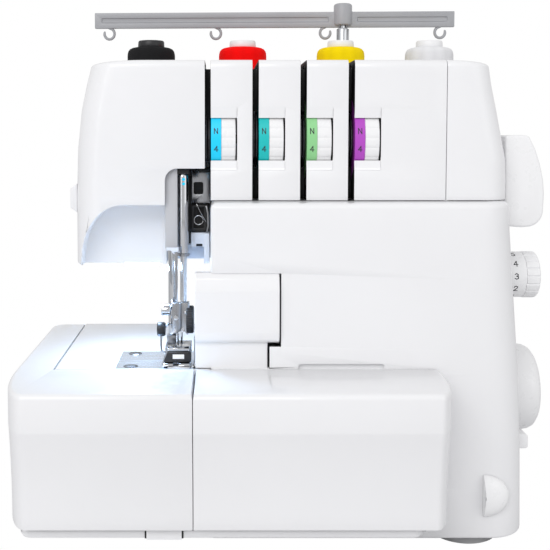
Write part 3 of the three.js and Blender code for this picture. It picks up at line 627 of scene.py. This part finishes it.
# ------------------------------------------------------------------ tension panel
panel_left, panel_right = SLOTS[0] + HALF_SLOT, 263.8
panel = common(upper_bar(), slab(panel_left, panel_right, 0, SPLIT, LEDGE + 0.4, 310))
cuts = [slab(panel_left - 1, panel_right + 1, 94, SPLIT + 1, LEDGE, TOP - 3)]
for index, x in enumerate(SLOTS):
    inner, outer = x + HALF_SLOT - 0.01, x + HALF_SLOT + 16.3
    reach = [(27.1, inner), (27.1, outer)]
    # The dial windows and slots take the black finish on their walls: painted shade.
    cuts.append(lathe(reach, "x", DIAL_AXIS, 96, PAINTED_SHADE))
    cuts.append(common(lathe([(126.6, inner), (126.6, outer)], "x", (FRONT - 125, DIAL_AXIS[1]), 360, SHELL),
                       slab(inner - 1, outer + 1, 60, 90, DIAL_AXIS[1] - 19, DIAL_AXIS[1] + 21, SHELL)))
    cuts.append(lathe([(20.5, x - 2.4), (20.5, inner + 0.1)], "x", DIAL_AXIS, 48, PAINTED_SHADE))
    if index:
        cuts.append(slab(x - HALF_SLOT, x + HALF_SLOT, 60, 90, LEDGE, 310, PAINTED_SHADE))
        cuts.append(slab(x - HALF_SLOT, x + HALF_SLOT, 60, SPLIT + 1, 294, 310, PAINTED_SHADE))
panel = cut(panel, *cuts)
# A black sheet behind slot 1, and its wall painted black: painted shade.
back = slab(112.4, panel_left + 1, 90, 94, 236, 294, PAINTED_SHADE)
panel = fuse(panel, back)
paint(panel, PAINTED_SHADE, lambda c, n: abs(c.x - panel_left) < 0.05 and n.x < -0.9 and c.y > 77)
piece(panel, "thread_panel", "machine", SHELL, ["tension_panel"], 0.3)

cap = common(upper_bar(), slab(264.2, 340, 0, SPLIT, LEDGE + 0.4, 310))
cap = cut(cap, common(upper_bar(WALL, 173, 296), slab(263, 340, 0, SPLIT + 2, LEDGE + 3, 310)))
piece(cap, "end_cap", "machine", SHELL, ["right_end_cap"], 0.35)

# ------------------------------------------------------------------ head cover with its lit arch
head = common(upper_bar(), slab(0, 114.8, 0, SPLIT, 160, 310))
arch = [
    (36.8, 160), (36.8, 171.9), *arc(63.7, 171.9, 26.9, 37.2, 180, 90, 16), (87, 209.1), (87, 160),
]
bay = [(90, 160), (90, 224), *arc(97.5, 224.3, 7.5, 7.5, 180, 90, 8), (120, 231.8), (120, 160)]
head = cut(
    head,
    prism(arch, "y", 50, 100, SHELL),
    slab(86.9, 90.1, 50, 95, 150, 209.1, SHELL),
    # The bay's cut walls in the white cover take the grey finish: painted shade.
    prism(bay, "y", 50, SPLIT + 1, BAY_GREY_AND_SHADE),
    common(upper_bar(WALL, 173, 296), slab(0, 87, 103, SPLIT + 2, 150, 310)),
    common(upper_bar(WALL, 173, 296), slab(0, 120, 79, SPLIT + 2, 235, 310)),
    common(upper_bar(WALL, 173, 296), slab(0, 87, 0, SPLIT + 2, 212.1, 310)),
    slab(100, 120, 80.5, SPLIT + 1, 234, 294),
    slab(90, 120, 79, SPLIT + 1, 220, 236),
)
# The head's face beside slot 1 is painted black: painted shade.
paint(head, PAINTED_SHADE, lambda c, n: abs(c.x - 114.8) < 0.05 and n.x > 0.9 and c.y > 77)
piece(head, "head_cover", "machine", SHELL, ["face_cover"], 0.5)


# ------------------------------------------------------------------ helpers for small parts
def closed_lathe(profile, axis, centre, count=64, finish=None):
    """A ring or tube: the profile is a closed outline that never touches the axis."""
    verts, faces = [], []
    for radius, height in profile:
        ring = [(centre[0] + a, centre[1] + b, height) for a, b in ring_points(radius, count)]
        verts += turned(ring, axis)
    size = len(profile)
    for level in range(size):
        for i in range(count):
            j = (i + 1) % count
            a, b = level * count, ((level + 1) % size) * count
            faces.append((a + i, a + j, b + j, b + i))
    return solid(verts, faces, finish)


def fluted(radius, depth, flutes, fill=0.6, steps=4):
    """A round outline with shallow grip grooves."""
    points = []
    pitch = 2 * math.pi / flutes
    for k in range(flutes):
        for i in range(steps):
            points.append((radius, k * pitch + pitch * fill * i / (steps - 1)))
        points.append((radius - depth, k * pitch + pitch * (fill + 1) / 2))
    return [(r * math.cos(a), r * math.sin(a)) for r, a in points]


def fluted_wheel(outline, centre, x0, x1, round_end=1.2, finish=None):
    """A fluted wheel on an x axis, with its far end rounded over."""
    rings = []
    for x, scale in ((x0, 0.985), (x0 + 0.4, 1.0), (x1 - round_end, 1.0)):
        rings.append([(x, centre[0] + a * scale, centre[1] + b * scale) for a, b in outline])
    size = max(math.hypot(a, b) for a, b in outline)
    for i in range(1, 6):
        t = math.radians(18 * i)
        scale = 1 - round_end * (1 - math.cos(t)) / size
        x = x1 - round_end + round_end * math.sin(t)
        rings.append([(x, centre[0] + a * scale, centre[1] + b * scale) for a, b in outline])
    return loft(rings, finish)


GLYPHS = {
    "N": [[(0, 0), (0, 1)], [(0, 1), (0.62, 0)], [(0.62, 0), (0.62, 1)]],
    "1": [[(0.12, 0.8), (0.36, 1)], [(0.36, 1), (0.36, 0)]],
    "2": [[(0.02, 0.75), (0.12, 0.95), (0.35, 1), (0.58, 0.9), (0.6, 0.68), (0.02, 0)],
          [(0.02, 0), (0.64, 0)]],
    "3": [[(0.04, 0.85), (0.3, 1), (0.56, 0.86), (0.54, 0.62), (0.28, 0.54)],
          [(0.28, 0.54), (0.6, 0.42), (0.6, 0.14), (0.3, 0), (0.02, 0.14)]],
    "4": [[(0.48, 0), (0.48, 1)], [(0.48, 1), (0, 0.32)], [(0, 0.32), (0.68, 0.32)]],
    "5": [[(0.58, 1), (0.1, 1), (0.06, 0.56), (0.34, 0.64), (0.6, 0.46), (0.58, 0.14), (0.3, 0),
           (0.02, 0.12)]],
    "6": [[(0.54, 0.96), (0.2, 0.7), (0.02, 0.3), (0.16, 0.03), (0.44, 0.02), (0.62, 0.24), (0.5, 0.5),
           (0.08, 0.42)]],
    "7": [[(0.02, 1), (0.62, 1), (0.2, 0)]],
}


def glyph_on_wheel(letter, height, x, angle, radius, centre, weight=0.5):
    """Printed strokes on the rim of a wheel whose axis is x; angle 0 faces the front."""
    parts = []
    for stroke in GLYPHS[letter]:
        for (u0, v0), (u1, v1) in zip(stroke, stroke[1:]):
            a = Vector(((u0 - 0.31) * height, (v0 - 0.5) * height))
            b = Vector(((u1 - 0.31) * height, (v1 - 0.5) * height))
            along = (b - a).normalized()
            across = Vector((-along.y, along.x)) * weight / 2
            a, b = a - along * weight / 2, b + along * weight / 2
            steps = 3
            rings = []
            for i in range(steps + 1):
                mid = a.lerp(b, i / steps)
                ring = []
                for side, lift in ((1, -0.12), (1, 0.05), (-1, 0.05), (-1, -0.12)):
                    p = mid + across * side
                    turn = math.radians(angle) + p.y / radius
                    r = radius + lift
                    ring.append((x + p.x, centre[0] - r * math.cos(turn), centre[1] + r * math.sin(turn)))
                rings.append(ring)
            parts.append(loft(rings, INK))
    return parts


def wire_ring(centre, radius, thick, start, end, count=28, finish=None):
    """A bent wire that faces the front."""
    points = arc(0, 0, radius, radius, start, end, count)
    path = [(centre[0] + a, centre[1], centre[2] + b) for a, b in points]
    return tube(path, thick, 10, finish)


# ------------------------------------------------------------------ tension dials
for index, (x, colour, slot_name) in enumerate(zip(SLOTS, (CYAN, TEAL, GREEN, PURPLE),
                                                   ("cyan", "teal", "green", "purple"))):
    start = x + HALF_SLOT + 0.2
    band = [(3.4, start), (26.0, start), (26.3, start + 0.3), (26.3, start + 6.2), (3.4, start + 6.2)]
    ring = closed_lathe(band, "x", DIAL_AXIS, 120, colour)
    wheel = fluted_wheel(fluted(26.1, 0.35, 26, 0.72), DIAL_AXIS, start + 6.25, start + 15.2, 0.6, CONTROL)
    wheel = cut(wheel, lathe([(3.4, start), (3.4, start + 17)], "x", DIAL_AXIS, 32, CONTROL))
    marks = []
    for step, letter in enumerate(("2", "3", "N", "4", "5", "6", "7")):
        angle = 59.5 - 24.2 * step
        marks += glyph_on_wheel(letter, 3.3, start + 3.1, angle, 26.3, DIAL_AXIS)
    piece(gather(ring, wheel, *marks), f"tension_wheel_{index + 1}", f"dial_{index + 1}", CONTROL,
          [f"tension_dial_{index + 1}"], 0)

# ------------------------------------------------------------------ controls on the right side
dial = fluted_wheel(ring_points(15.0, 96), LENGTH_AXIS, 308.8, 322.5, 0.3, CONTROL)
grip = fluted_wheel(fluted(15.2, 0.7, 18, 0.7), LENGTH_AXIS, 322.6, 331.6, 1.8, CONTROL)
stem = lathe([(4.2, 298), (4.2, 309)], "x", LENGTH_AXIS, 32, CONTROL)
digits = []
for letter, angle in (("1", -62), ("2", -29.5), ("3", 3.0), ("4", 35.5), ("5", 68)):
    digits += glyph_on_wheel(letter, 3.6, 315.6, angle, 15.0, LENGTH_AXIS, weight=0.55)
piece(gather(dial, grip, stem, *digits), "length_dial_knob", "length_dial", CONTROL, ["stitch_length_dial"],
      0)

lever = prism(
    [(306.6, 252.4), *arc(309.5, 196.5, 2.6, 2.6, 180, 270, 4), (318, 193.3),
     *arc(321.4, 204.4, 10.4, 10.8, -80, -6, 8), (332.2, 215), (331.4, 224), (329.2, 234), (326, 243.6),
     (322.2, 251.2), (320.6, 252.6)],
    "y", 96.4, 111.6, CONTROL)
piece(lever, "feed_lever_arm", "feed_lever", CONTROL, ["differential_lever"], 1.6, 4)

wheel = lathe([(6.3, 313.6), (24.5, 313.6), (27.6, 314.6), (28.9, 317), (29.2, 320), (29.2, 331),
               (28.6, 334.4), (27.2, 337.2), (24.8, 339), (21.5, 339.8), (20.6, 339.4), (20.2, 338.9),
               (10, 338.9), (9, 339.3), (0, 339.3)], "x", HAND_AXIS, 128, CONTROL)
wheel = cut(wheel, lathe([(6.4, 312), (6.4, 329.5)], "x", HAND_AXIS, 48, CONTROL))
wheel = cut(wheel, dome((341.5, 140, 94.5), (4.5, 6, 6), CONTROL))
piece(wheel, "hand_wheel_rim", "hand_drive", CONTROL, ["handwheel"], 0)

rocker = prism([(312.9, 52.9), (319.6, 52.9), (320.6, 54), (320.6, 61), (319.6, 62.1), (312.9, 62.1)],
               "y", 84, 96, CONTROL)
piece(rocker, "switch_rocker", "switch", CONTROL, ["power_switch"], 0.7, 3)

half_dome = dome((284, 55.5, 33.6), (16, 6.0, 13), CONTROL, half=True)
piece(half_dome, "latch_dome", "latch", CONTROL, ["cover_latch"], 0.5, 3, 60)

pins = [lathe([(1.2, 304), (1.2, 309.4), (0.9, 310)], "x", (y, 33), 20, STEEL) for y in (184, 190)]
piece(gather(*pins), "inlet_pins", "machine", STEEL, (), 0)

# ------------------------------------------------------------------ feet
pad_profile = [(0, 0.6), (8, 0.6), (8.6, 0), (11, 0), (11.6, 0.6), (14, 0.6), (14.6, 0), (19.6, 0),
               (20.8, 0.7), (21, 2), (20.6, 3.4), (19.2, 7.2), (18.8, 7.6), (0, 7.6)]
for name in ("foot_front_left", "foot_front_right", "foot_rear_left", "foot_rear_right"):
    pad = lathe(pad_profile, "z", centre_of(name, "xy"), 96, FOOT)
    piece(pad, "pad_" + name, "machine", FOOT, [name], 0)

# ------------------------------------------------------------------ free arm and plate screws
free_arm = slab(24.4, 118, 56, 190, 62, BED_TOP, SHELL)
free_arm = cut(
    free_arm,
    slab(27.4, 119, 59, 187, 65, 108.5, SHELL),
    slab(60.7, 119, 56.7, 101.9, 109.2, 112.5, SHELL),
    slab(64, 119, 59.6, 98.6, 100, 112.5, SHELL),
    slab(66, 119, 55, 60, 68, 104, SHELL),
)
piece(free_arm, "free_arm_shell", "machine", SHELL, ["free_arm"], 0.35)

screw_profile = [(1.9, 109.6), (1.9, 110.9), (4.1, 111.0), (4.1, 111.6), (3.7, 112.0), (2.4, 112.25),
                 (0, 112.3)]
for number in (1, 2):
    x, y = centre_of(f"plate_screw_{number}", "xy")
    screw = lathe(screw_profile, "z", (x, y), 48, STEEL)
    # The slot's walls take the dark finish: painted shade.
    screw = cut(screw, slab(x - 4.2, x + 4.2, y - 0.45, y + 0.45, 111.6, 113, DARK))
    piece(screw, f"plate_screw_head_{number}", "machine", STEEL, [f"plate_screw_{number}"], 0)

# ------------------------------------------------------------------ guard over the knives
nose = [(62, 170.0), (57.2, 170.0), (54.4, 166.6), (52.6, 159.2), (52.4, 134), (53.4, 129.4), (55.6, 127.7),
        (62, 127.7)]
guard = fuse(prism(nose, "x", 109, 159.8, SHELL), slab(109, 152.9, 57.4, 62, 111.4, 140, SHELL))
piece(guard, "guard_shell", "machine", SHELL, ["knife_guard"], 0.7, 3, 12)

# ------------------------------------------------------------------ thread cutter on the head
holder = prism([(28.8, 206.4), (33.2, 203.2), (33.2, 221.8), (28.8, 218.6)], "y", 92, 108, SHELL)
blade = slab(28.9, 32.3, 99.6, 100.2, 209, 218, STEEL)
piece(gather(holder, blade), "cutter_holder", "machine", SHELL, ["thread_cutter"], 0.5, 3)

# ------------------------------------------------------------------ bay behind the needles
# The hole's walls take the dark finish: painted shade.
sheet_hole = prism([*arc(108.2, 215.5, 1, 1, 180, 270, 4), *arc(112.2, 215.5, 1, 1, -90, 0, 4),
                    *arc(112.2, 221.3, 1, 1, 0, 90, 4), *arc(108.2, 221.3, 1, 1, 90, 180, 4)],
                   "y", 98, 104, DARK)
bay_parts = [
    # The bay's back wall: dark above as painted shade, bluish white below as painted light.
    slab(91, 117.3, 105, 109, 182, 226, DARK),
    slab(91, 117.3, 105, 109, 172, 182, BAY_LAMP_LIGHT),
    slab(91, 110.8, 105, 109, 226, 288, CAST),
    # Grey plates, and painted shade on the bay's side wall.
    prism([(90.3, 181), (99.6, 181), (99.6, 231.6), (94.5, 231.6), (91.6, 228.6), (90.3, 224)],
          "y", 99.4, 100.8, BAY_GREY_AND_SHADE),
    slab(90.2, 91.0, 80, 100, 181, 223, BAY_GREY_AND_SHADE),
    prism([(89.8, 182), (97.5, 182), (97.5, 231.9), (94.5, 231.9), (91.4, 229.0), (89.8, 224.6)],
          "y", 79.8, 80.6, BAY_GREY_AND_SHADE),
    # Black strips and pockets in the bay: painted shade.
    slab(97.6, 104.7, 79.9, 80.5, 228.3, 231.7, PAINTED_SHADE),
    slab(98.6, 105.2, 96, 100.9, 226.5, 231.7, PAINTED_SHADE),
    cut(slab(105.6, 117.6, 99.6, 100.8, 208.6, 230.2, STEEL), sheet_hole),
    slab(110.4, 117.6, 96, 99.2, 228.8, 231.7, PAINTED_SHADE),
    slab(105.8, 117.0, 101.2, 103.2, 206, 231, PAINTED_SHADE),
    cut(slab(105.9, 116.6, 95.6, 104, 190.6, 207.8, DARK), slab(107.2, 113.8, 95, 99, 193, 206.4, PAINTED_SHADE)),
    wire_ring((110.4, 94.8, 198.2), 2.9, 0.38, 0, 352, finish=CHROME),
    tube([(109.2, 94.6, 208.4), (111.4, 94.2, 203.6), (115.2, 94.2, 197.0)], 0.22, 8, CHROME),
    tube([(115.2, 93.8, 207.4), (116.3, 93.4, 203), (116.6, 93.4, 195), (115.6, 93.6, 190.2)],
         0.75, 12, STEEL),
    # Bluish white pieces low in the bay: painted light.
    cut(slab(105.6, 117.3, 92, 104, 181.2, 190.2, BAY_LAMP_LIGHT), slab(109, 112.8, 91, 96, 181, 183.2, PAINTED_SHADE)),
    slab(113.9, 117.3, 90, 103, 171, 190, BAY_LAMP_LIGHT),
    prism([(90.6, 182.6), (98.2, 182.6), (98.2, 180.4), (95.4, 178.4), (93.8, 180.4), (90.6, 180.6)],
          "y", 77, 82, BAY_LAMP_LIGHT),
    prism([(91.4, 181), (93.5, 181), (94.3, 168), (94.1, 158.5), (92.7, 162)], "y", 77, 78.6, STEEL),
    prism([(95.6, 180), (97.7, 180), (97.7, 159), (97.0, 149.6), (96.2, 150.2), (96.0, 166)],
          "y", 77, 78.6, STEEL),
]
piece(gather(*bay_parts), "bay_fittings", "machine", STEEL, ["head_frame"], 0.18, 2)

sleeve = closed_lathe([(2.5, 178.4), (3.2, 178.4), (3.3, 179.2), (3.3, 226.6), (2.9, 227.8), (2.6, 228.0),
                       (2.5, 227.6)], "z", NEEDLE_AXIS, 64, CHROME)
collar = closed_lathe([(2.5, 176.6), (3.9, 176.6), (4.0, 178.2), (2.5, 178.3)], "z", NEEDLE_AXIS, 48, STEEL)
above = closed_lathe([(2.5, 228.2), (3.0, 228.2), (3.0, 250), (2.5, 250)], "z", NEEDLE_AXIS, 48, STEEL)
dots = [lathe([(0.95, 80.55), (0.95, 81.4)], "y", (101.4, z), 24, CYAN) for z in (225.0, 222.2)]
piece(gather(sleeve, collar, above, *dots), "needle_sleeve", "machine", CHROME, ["needle_bar_guide"],
      0)

# ------------------------------------------------------------------ needle unit
bar = lathe([(1.6, 147.4), (2.1, 147.9), (2.1, 170), (2.1, 200), (2.1, 267.4), (1.6, 268)],
            "z", NEEDLE_AXIS, 40, CHROME)
piece(bar, "needle_rod", "needle_unit", CHROME, ["needle_bar"], 0)
clamp_parts = [
    prism([(93.9, 147), (99.2, 147), (99.2, 130.5), (97.6, 128), (95.2, 128), (93.9, 129.6)],
          "y", 80.4, 82.6, STEEL),
    slab(99.6, 104.6, 82.8, 88.4, 128.6, 147, STEEL),
    slab(95.0, 99.4, 82.8, 88.4, 128.6, 146.6, STEEL),
    prism([(101.6, 147), (104.9, 147), (104.9, 128.4), (103.4, 127), (102.2, 128.4), (101.6, 134)],
          "y", 80.6, 82.4, STEEL),
    fluted_wheel(fluted(8.7, 0.3, 36, 0.55, 3), (84, 136.2), 102.9, 107.6, 1.0, DARK),
    lathe([(0.5, 101.2), (1.6, 101.8), (1.6, 103)], "x", (82, 141), 24, CHROME),
    lathe([(1.5, 78.8), (1.5, 80.5)], "y", (96.6, 138), 24, CHROME),
]
piece(gather(*clamp_parts), "needle_holder", "needle_unit", STEEL, ["needle_clamp"], 0.15, 2)

# ------------------------------------------------------------------ presser foot
rod = lathe([(2.6, 124.7), (3.0, 125.2), (3.0, 200), (3.0, 279.5), (2.6, 280)], "z", PRESSER_AXIS, 48, CHROME)
piece(rod, "presser_rod", "presser", CHROME, ["presser_bar"], 0)
shoe = prism([(89.6, 114.2), (106.2, 114.2), (106.2, 118), (104.9, 120.5), (92.2, 120.5)], "y", 62, 78, DARK)
sole = [(57.2, 113.0), (58.8, 112.2), (98.6, 112.2), (98.6, 114), (60.4, 114), (58.2, 114.2)]
foot_parts = [
    cut(shoe, slab(95.8, 101, 74, 80, 110, 122, DARK)),
    slab(89.6, 95.4, 78.2, 98, 114.2, 119.6, STEEL),
    slab(101.4, 106.0, 78.2, 98, 114.2, 119.6, STEEL),
    slab(95.4, 101.4, 88.8, 98, 114.2, 119.6, STEEL),
    slab(92.0, 105.2, 63.4, 76, 120.6, 122.4, CHROME),
    slab(95.2, 102.2, 61.6, 62, 116.2, 119.0, CONTROL),
    *[prism(sole, "x", x0, x1, CHROME) for x0, x1 in ((89.4, 95.6), (99.0, 105.6))],
    slab(90.2, 97.8, 89.6, 98, 119.6, 124.4, STEEL),
    lathe([(3.4, 87.2), (3.6, 87.8), (3.6, 92.6), (3.2, 93.2)], "x", (82.5, 142.6), 32, CHROME),
    tube([(90.4, 84, 142.6), (91.6, 90, 142.6), (93, 92, 142)], 1.2, 12, CHROME),
    lathe([(3.6, 84.6), (4.4, 85.4), (4.4, 88.8), (3.8, 89.8)], "x", (80, 130.8), 32, DARK),
    tube([(87.2, 80, 127), (87.0, 79.4, 121), (87.3, 78.6, 117.6), (89.8, 78, 116.4)], 0.7, 10, STEEL),
    tube([(88.8, 84, 130.8), (90.4, 90, 131.5), (92.2, 92.6, 132)], 1.0, 12, CHROME),
]
piece(gather(*foot_parts), "presser_shoe", "presser", STEEL, ["presser_foot"], 0.2, 2)

hook = tube([(106.9, 63, 114.4), (106.9, 60, 115.0), (107.2, 58.2, 113.4), (107.9, 57.6, 112.5),
             (108.6, 58.2, 113.2), (108.6, 59.4, 114.6)], 0.38, 10, CHROME)
finger = prism([*arc(94.4, 59.4, 2.2, 2.6, 180, 270, 5), *arc(103.6, 59.4, 2.2, 2.6, -90, 0, 5),
                (105.8, 61.5), (92.2, 61.5)], "z", 111.65, 112.1, CONTROL)
piece(gather(hook, finger), "stitch_finger", "machine", CHROME, (), 0)

grip_lever = prism([(199, 198), (204, 201.5), (208, 198), (240, 182), (252, 181), (253, 171), (238, 169),
                    (204, 190)], "x", 72, 80, STEEL)
piece(grip_lever, "lifter_arm", "lifter", STEEL, ["presser_lifter"], 1.2, 3)

# ------------------------------------------------------------------ thread spools
for index, colour_name in enumerate(("black", "red", "yellow", "white")):
    body = f"spool_{index + 1}"
    axis = centre_of(f"thread_spool_{index + 1}", "xy")
    wound = [(10.4, 227.2), (21.4, 227.2), (22.0, 228.6)]
    wound += [(22.0 - 3.3 * k / 44 + (0.10 if k % 2 else 0.0), 229.5 + 87 * k / 44) for k in range(45)]
    wound += [(18.2, 318.4), (17.0, 320.0), (15.0, 321.0), (12.5, 321.5), (10.4, 321.5)]
    cone = closed_lathe(wound, "z", axis, 96, THREADS[index])
    piece(cone, f"thread_cone_{index + 1}", body, THREADS[index], [f"thread_spool_{index + 1}"],
          0, origin=(*axis, 275))
    core = closed_lathe([(3.1, 225.4), (21.6, 225.4), (21.9, 226.2), (21.4, 227.0), (10.2, 227.1),
                         (10.2, 321.6), (10.5, 322.2), (10.3, 325.8), (9.6, 326.8), (8.4, 326.9),
                         (7.4, 326.2), (7.0, 324.4), (3.1, 324.2)], "z", axis, 72, CORE if index else DARK)
    piece(core, f"thread_core_{index + 1}", body, CORE, (), 0)

# ------------------------------------------------------------------ pole and thread-guide bar
outer = closed_lathe([(4.4, 220.4), (5.2, 220.4), (5.2, 300), (5.2, 338.9), (4.9, 339.5), (4.4, 339.6)],
                     "z", POLE_AXIS, 64, CHROME)
piece(outer, "pole_tube", "machine", CHROME, ["pole_outer"], 0)

# The bar is built round its own pivot, then turned a little and carried to the pole.
BAR_TURN = -2.5
guide = slab(-206, 91, -2, 2, 340.8, 353.6, GREY)
guide = cut(guide, *[slab(x0, x1, -2.6, -1.5, 345.4, 349.0, GREY) for x0, x1 in ((-200, -12), (12, 85))])
boss = lathe([(6.6, 342.5), (7.4, 343.2), (7.5, 344), (7.5, 358.4), (7.0, 359.6), (5.8, 360.2), (0, 360.2)],
             "z", (0, 0), 72, GREY)
guide = fuse(guide, boss)
guide = cut(guide, lathe([(2.8, 330), (2.8, 358.2)], "z", (0, 0), 32, GREY))
eyes = []
for index, offset in enumerate((-194, -105, -14.5, 79.5)):
    side = 1 if index < 2 else -1
    curl = arc(offset, 336.5, 4.2, 4.5, 90, 90 - side * 296, 26)
    path = [(offset + side * 0.2, 0, 342.6), *[(a, 0, b) for a, b in curl]]
    eyes.append(tube(path, [1.15] * (len(path) - 3) + [1.05, 0.9, 0.6], 12, GREY))
bar_piece = piece(guide, "guide_bar", "antenna", GREY, ["antenna_bar"], 0.5, 3)
eye_piece = piece(gather(*eyes), "guide_eyes", "antenna", GREY, (), 0)
for obj in (bar_piece, eye_piece):
    turn = Matrix.Rotation(math.radians(BAR_TURN), 4, "Z")
    obj.data.transform(Matrix.Translation(place(*POLE_AXIS, 0)) @ turn)
    obj.location = (0, 0, 0)


# ------------------------------------------------------------------ finishes of the carried-over nodes
SLOT_FINISH = {
    "white_shell": SHELL, "white_control": CONTROL, "grey_base": BASE, "grey_plastic": GREY,
    "dark_plastic": DARK, "belt_rubber": BELT, "foot_rubber": FOOT, "steel": STEEL, "brushed_plate": PLATE,
    "cast_frame": CAST, "chrome": CHROME, "lamp_lens": LENS, "dial_cyan": CYAN, "dial_teal": TEAL,
    "dial_green": GREEN, "dial_purple": PURPLE,
    "thread_black": THREADS[0], "thread_red": THREADS[1],
    "thread_yellow": THREADS[2], "thread_white": THREADS[3],
}
for name, obj in NODES.items():
    for index, held in enumerate(obj.data.materials):
        base = held.name.split(".")[0] if held else ""
        if base in SLOT_FINISH:
            obj.data.materials[index] = SLOT_FINISH[base]
# The tension discs take the darkened finish: painted shade in the slots.
NODES["tension_disc_stack"].data.materials[0] = DISC_IN_SHADE


# ------------------------------------------------------------------ floor, light and camera
def plain_stage():
    mesh = bpy.data.meshes.new("floor")
    mesh.from_pydata([(-12, -6, 0), (12, -6, 0), (12, 30, 0), (-12, 30, 0)], [], [(0, 1, 2, 3)])
    floor = bpy.data.objects.new("floor", mesh)
    bpy.context.scene.collection.objects.link(floor)
    mesh.materials.append(
        material("floor_paper", (0.70, 0.70, 0.71), 0.8, mottle=0.002, grain=400, grain_strength=0.05))
    # The floor throws light back at the object, but the camera doesn't see it.
    floor.visible_camera = False


def soft_light(name, location, target, size, power, color=(1, 1, 1)):
    lamp = bpy.data.lights.new(name, "AREA")
    lamp.shape = "RECTANGLE"
    lamp.size, lamp.size_y = size
    lamp.energy = power
    lamp.color = color
    obj = bpy.data.objects.new(name, lamp)
    obj.location = location
    obj.rotation_euler = (Vector(target) - Vector(location)).to_track_quat("-Z", "Y").to_euler()
    bpy.context.scene.collection.objects.link(obj)
    return obj


plain_stage()
LIT_POINT = (0, 0, 0.2)
soft_light("key", (-0.9, -2.1, 1.6), LIT_POINT, (1.5, 1.2), 25.5)
soft_light("strip", (-1.7, -1.9, 0.5), LIT_POINT, (0.2, 1.4), 2.5)
soft_light("fill", (1.8, -1.7, 1.0), LIT_POINT, (1.5, 1.5), 5.5)
soft_light("needle_glow", place(75, 90, 166), place(88, 78, 112), (0.03, 0.02), 0.11, (0.50, 0.72, 1.0))

# A white world that lights the object at ROOM_LIGHT, and that the camera sees as plain white.
ROOM_LIGHT = 0.76
world = bpy.data.worlds.new("studio")
bpy.context.scene.world = world
world.use_nodes = True
sky = world.node_tree
around = sky.nodes["Background"]
around.inputs["Color"].default_value = (1.0, 1.0, 1.0, 1)
around.inputs["Strength"].default_value = ROOM_LIGHT
backdrop = node(sky, "ShaderNodeBackground")
backdrop.inputs["Color"].default_value = (1.0, 1.0, 1.0, 1)
both = node(sky, "ShaderNodeMixShader")
sky.links.new(node(sky, "ShaderNodeLightPath").outputs["Is Camera Ray"], both.inputs[0])
sky.links.new(around.outputs[0], both.inputs[1])
sky.links.new(backdrop.outputs[0], both.inputs[2])
sky.links.new(both.outputs[0], sky.nodes["World Output"].inputs["Surface"])
bpy.context.scene.view_settings.view_transform = "Standard"

LENS = 60.9905
TILT = 3.33
eye = bpy.data.cameras.new("camera")
eye.sensor_width = 36
eye.lens = LENS
eye.shift_x = 0.102
eye.shift_y = -0.16
eye.clip_start = 0.01
camera = bpy.data.objects.new("camera", eye)
camera.location = place(123.4, -499.7, 254.0)
camera.rotation_euler = (math.radians(90 - TILT), 0, 0)
bpy.context.scene.collection.objects.link(camera)
bpy.context.scene.camera = camera
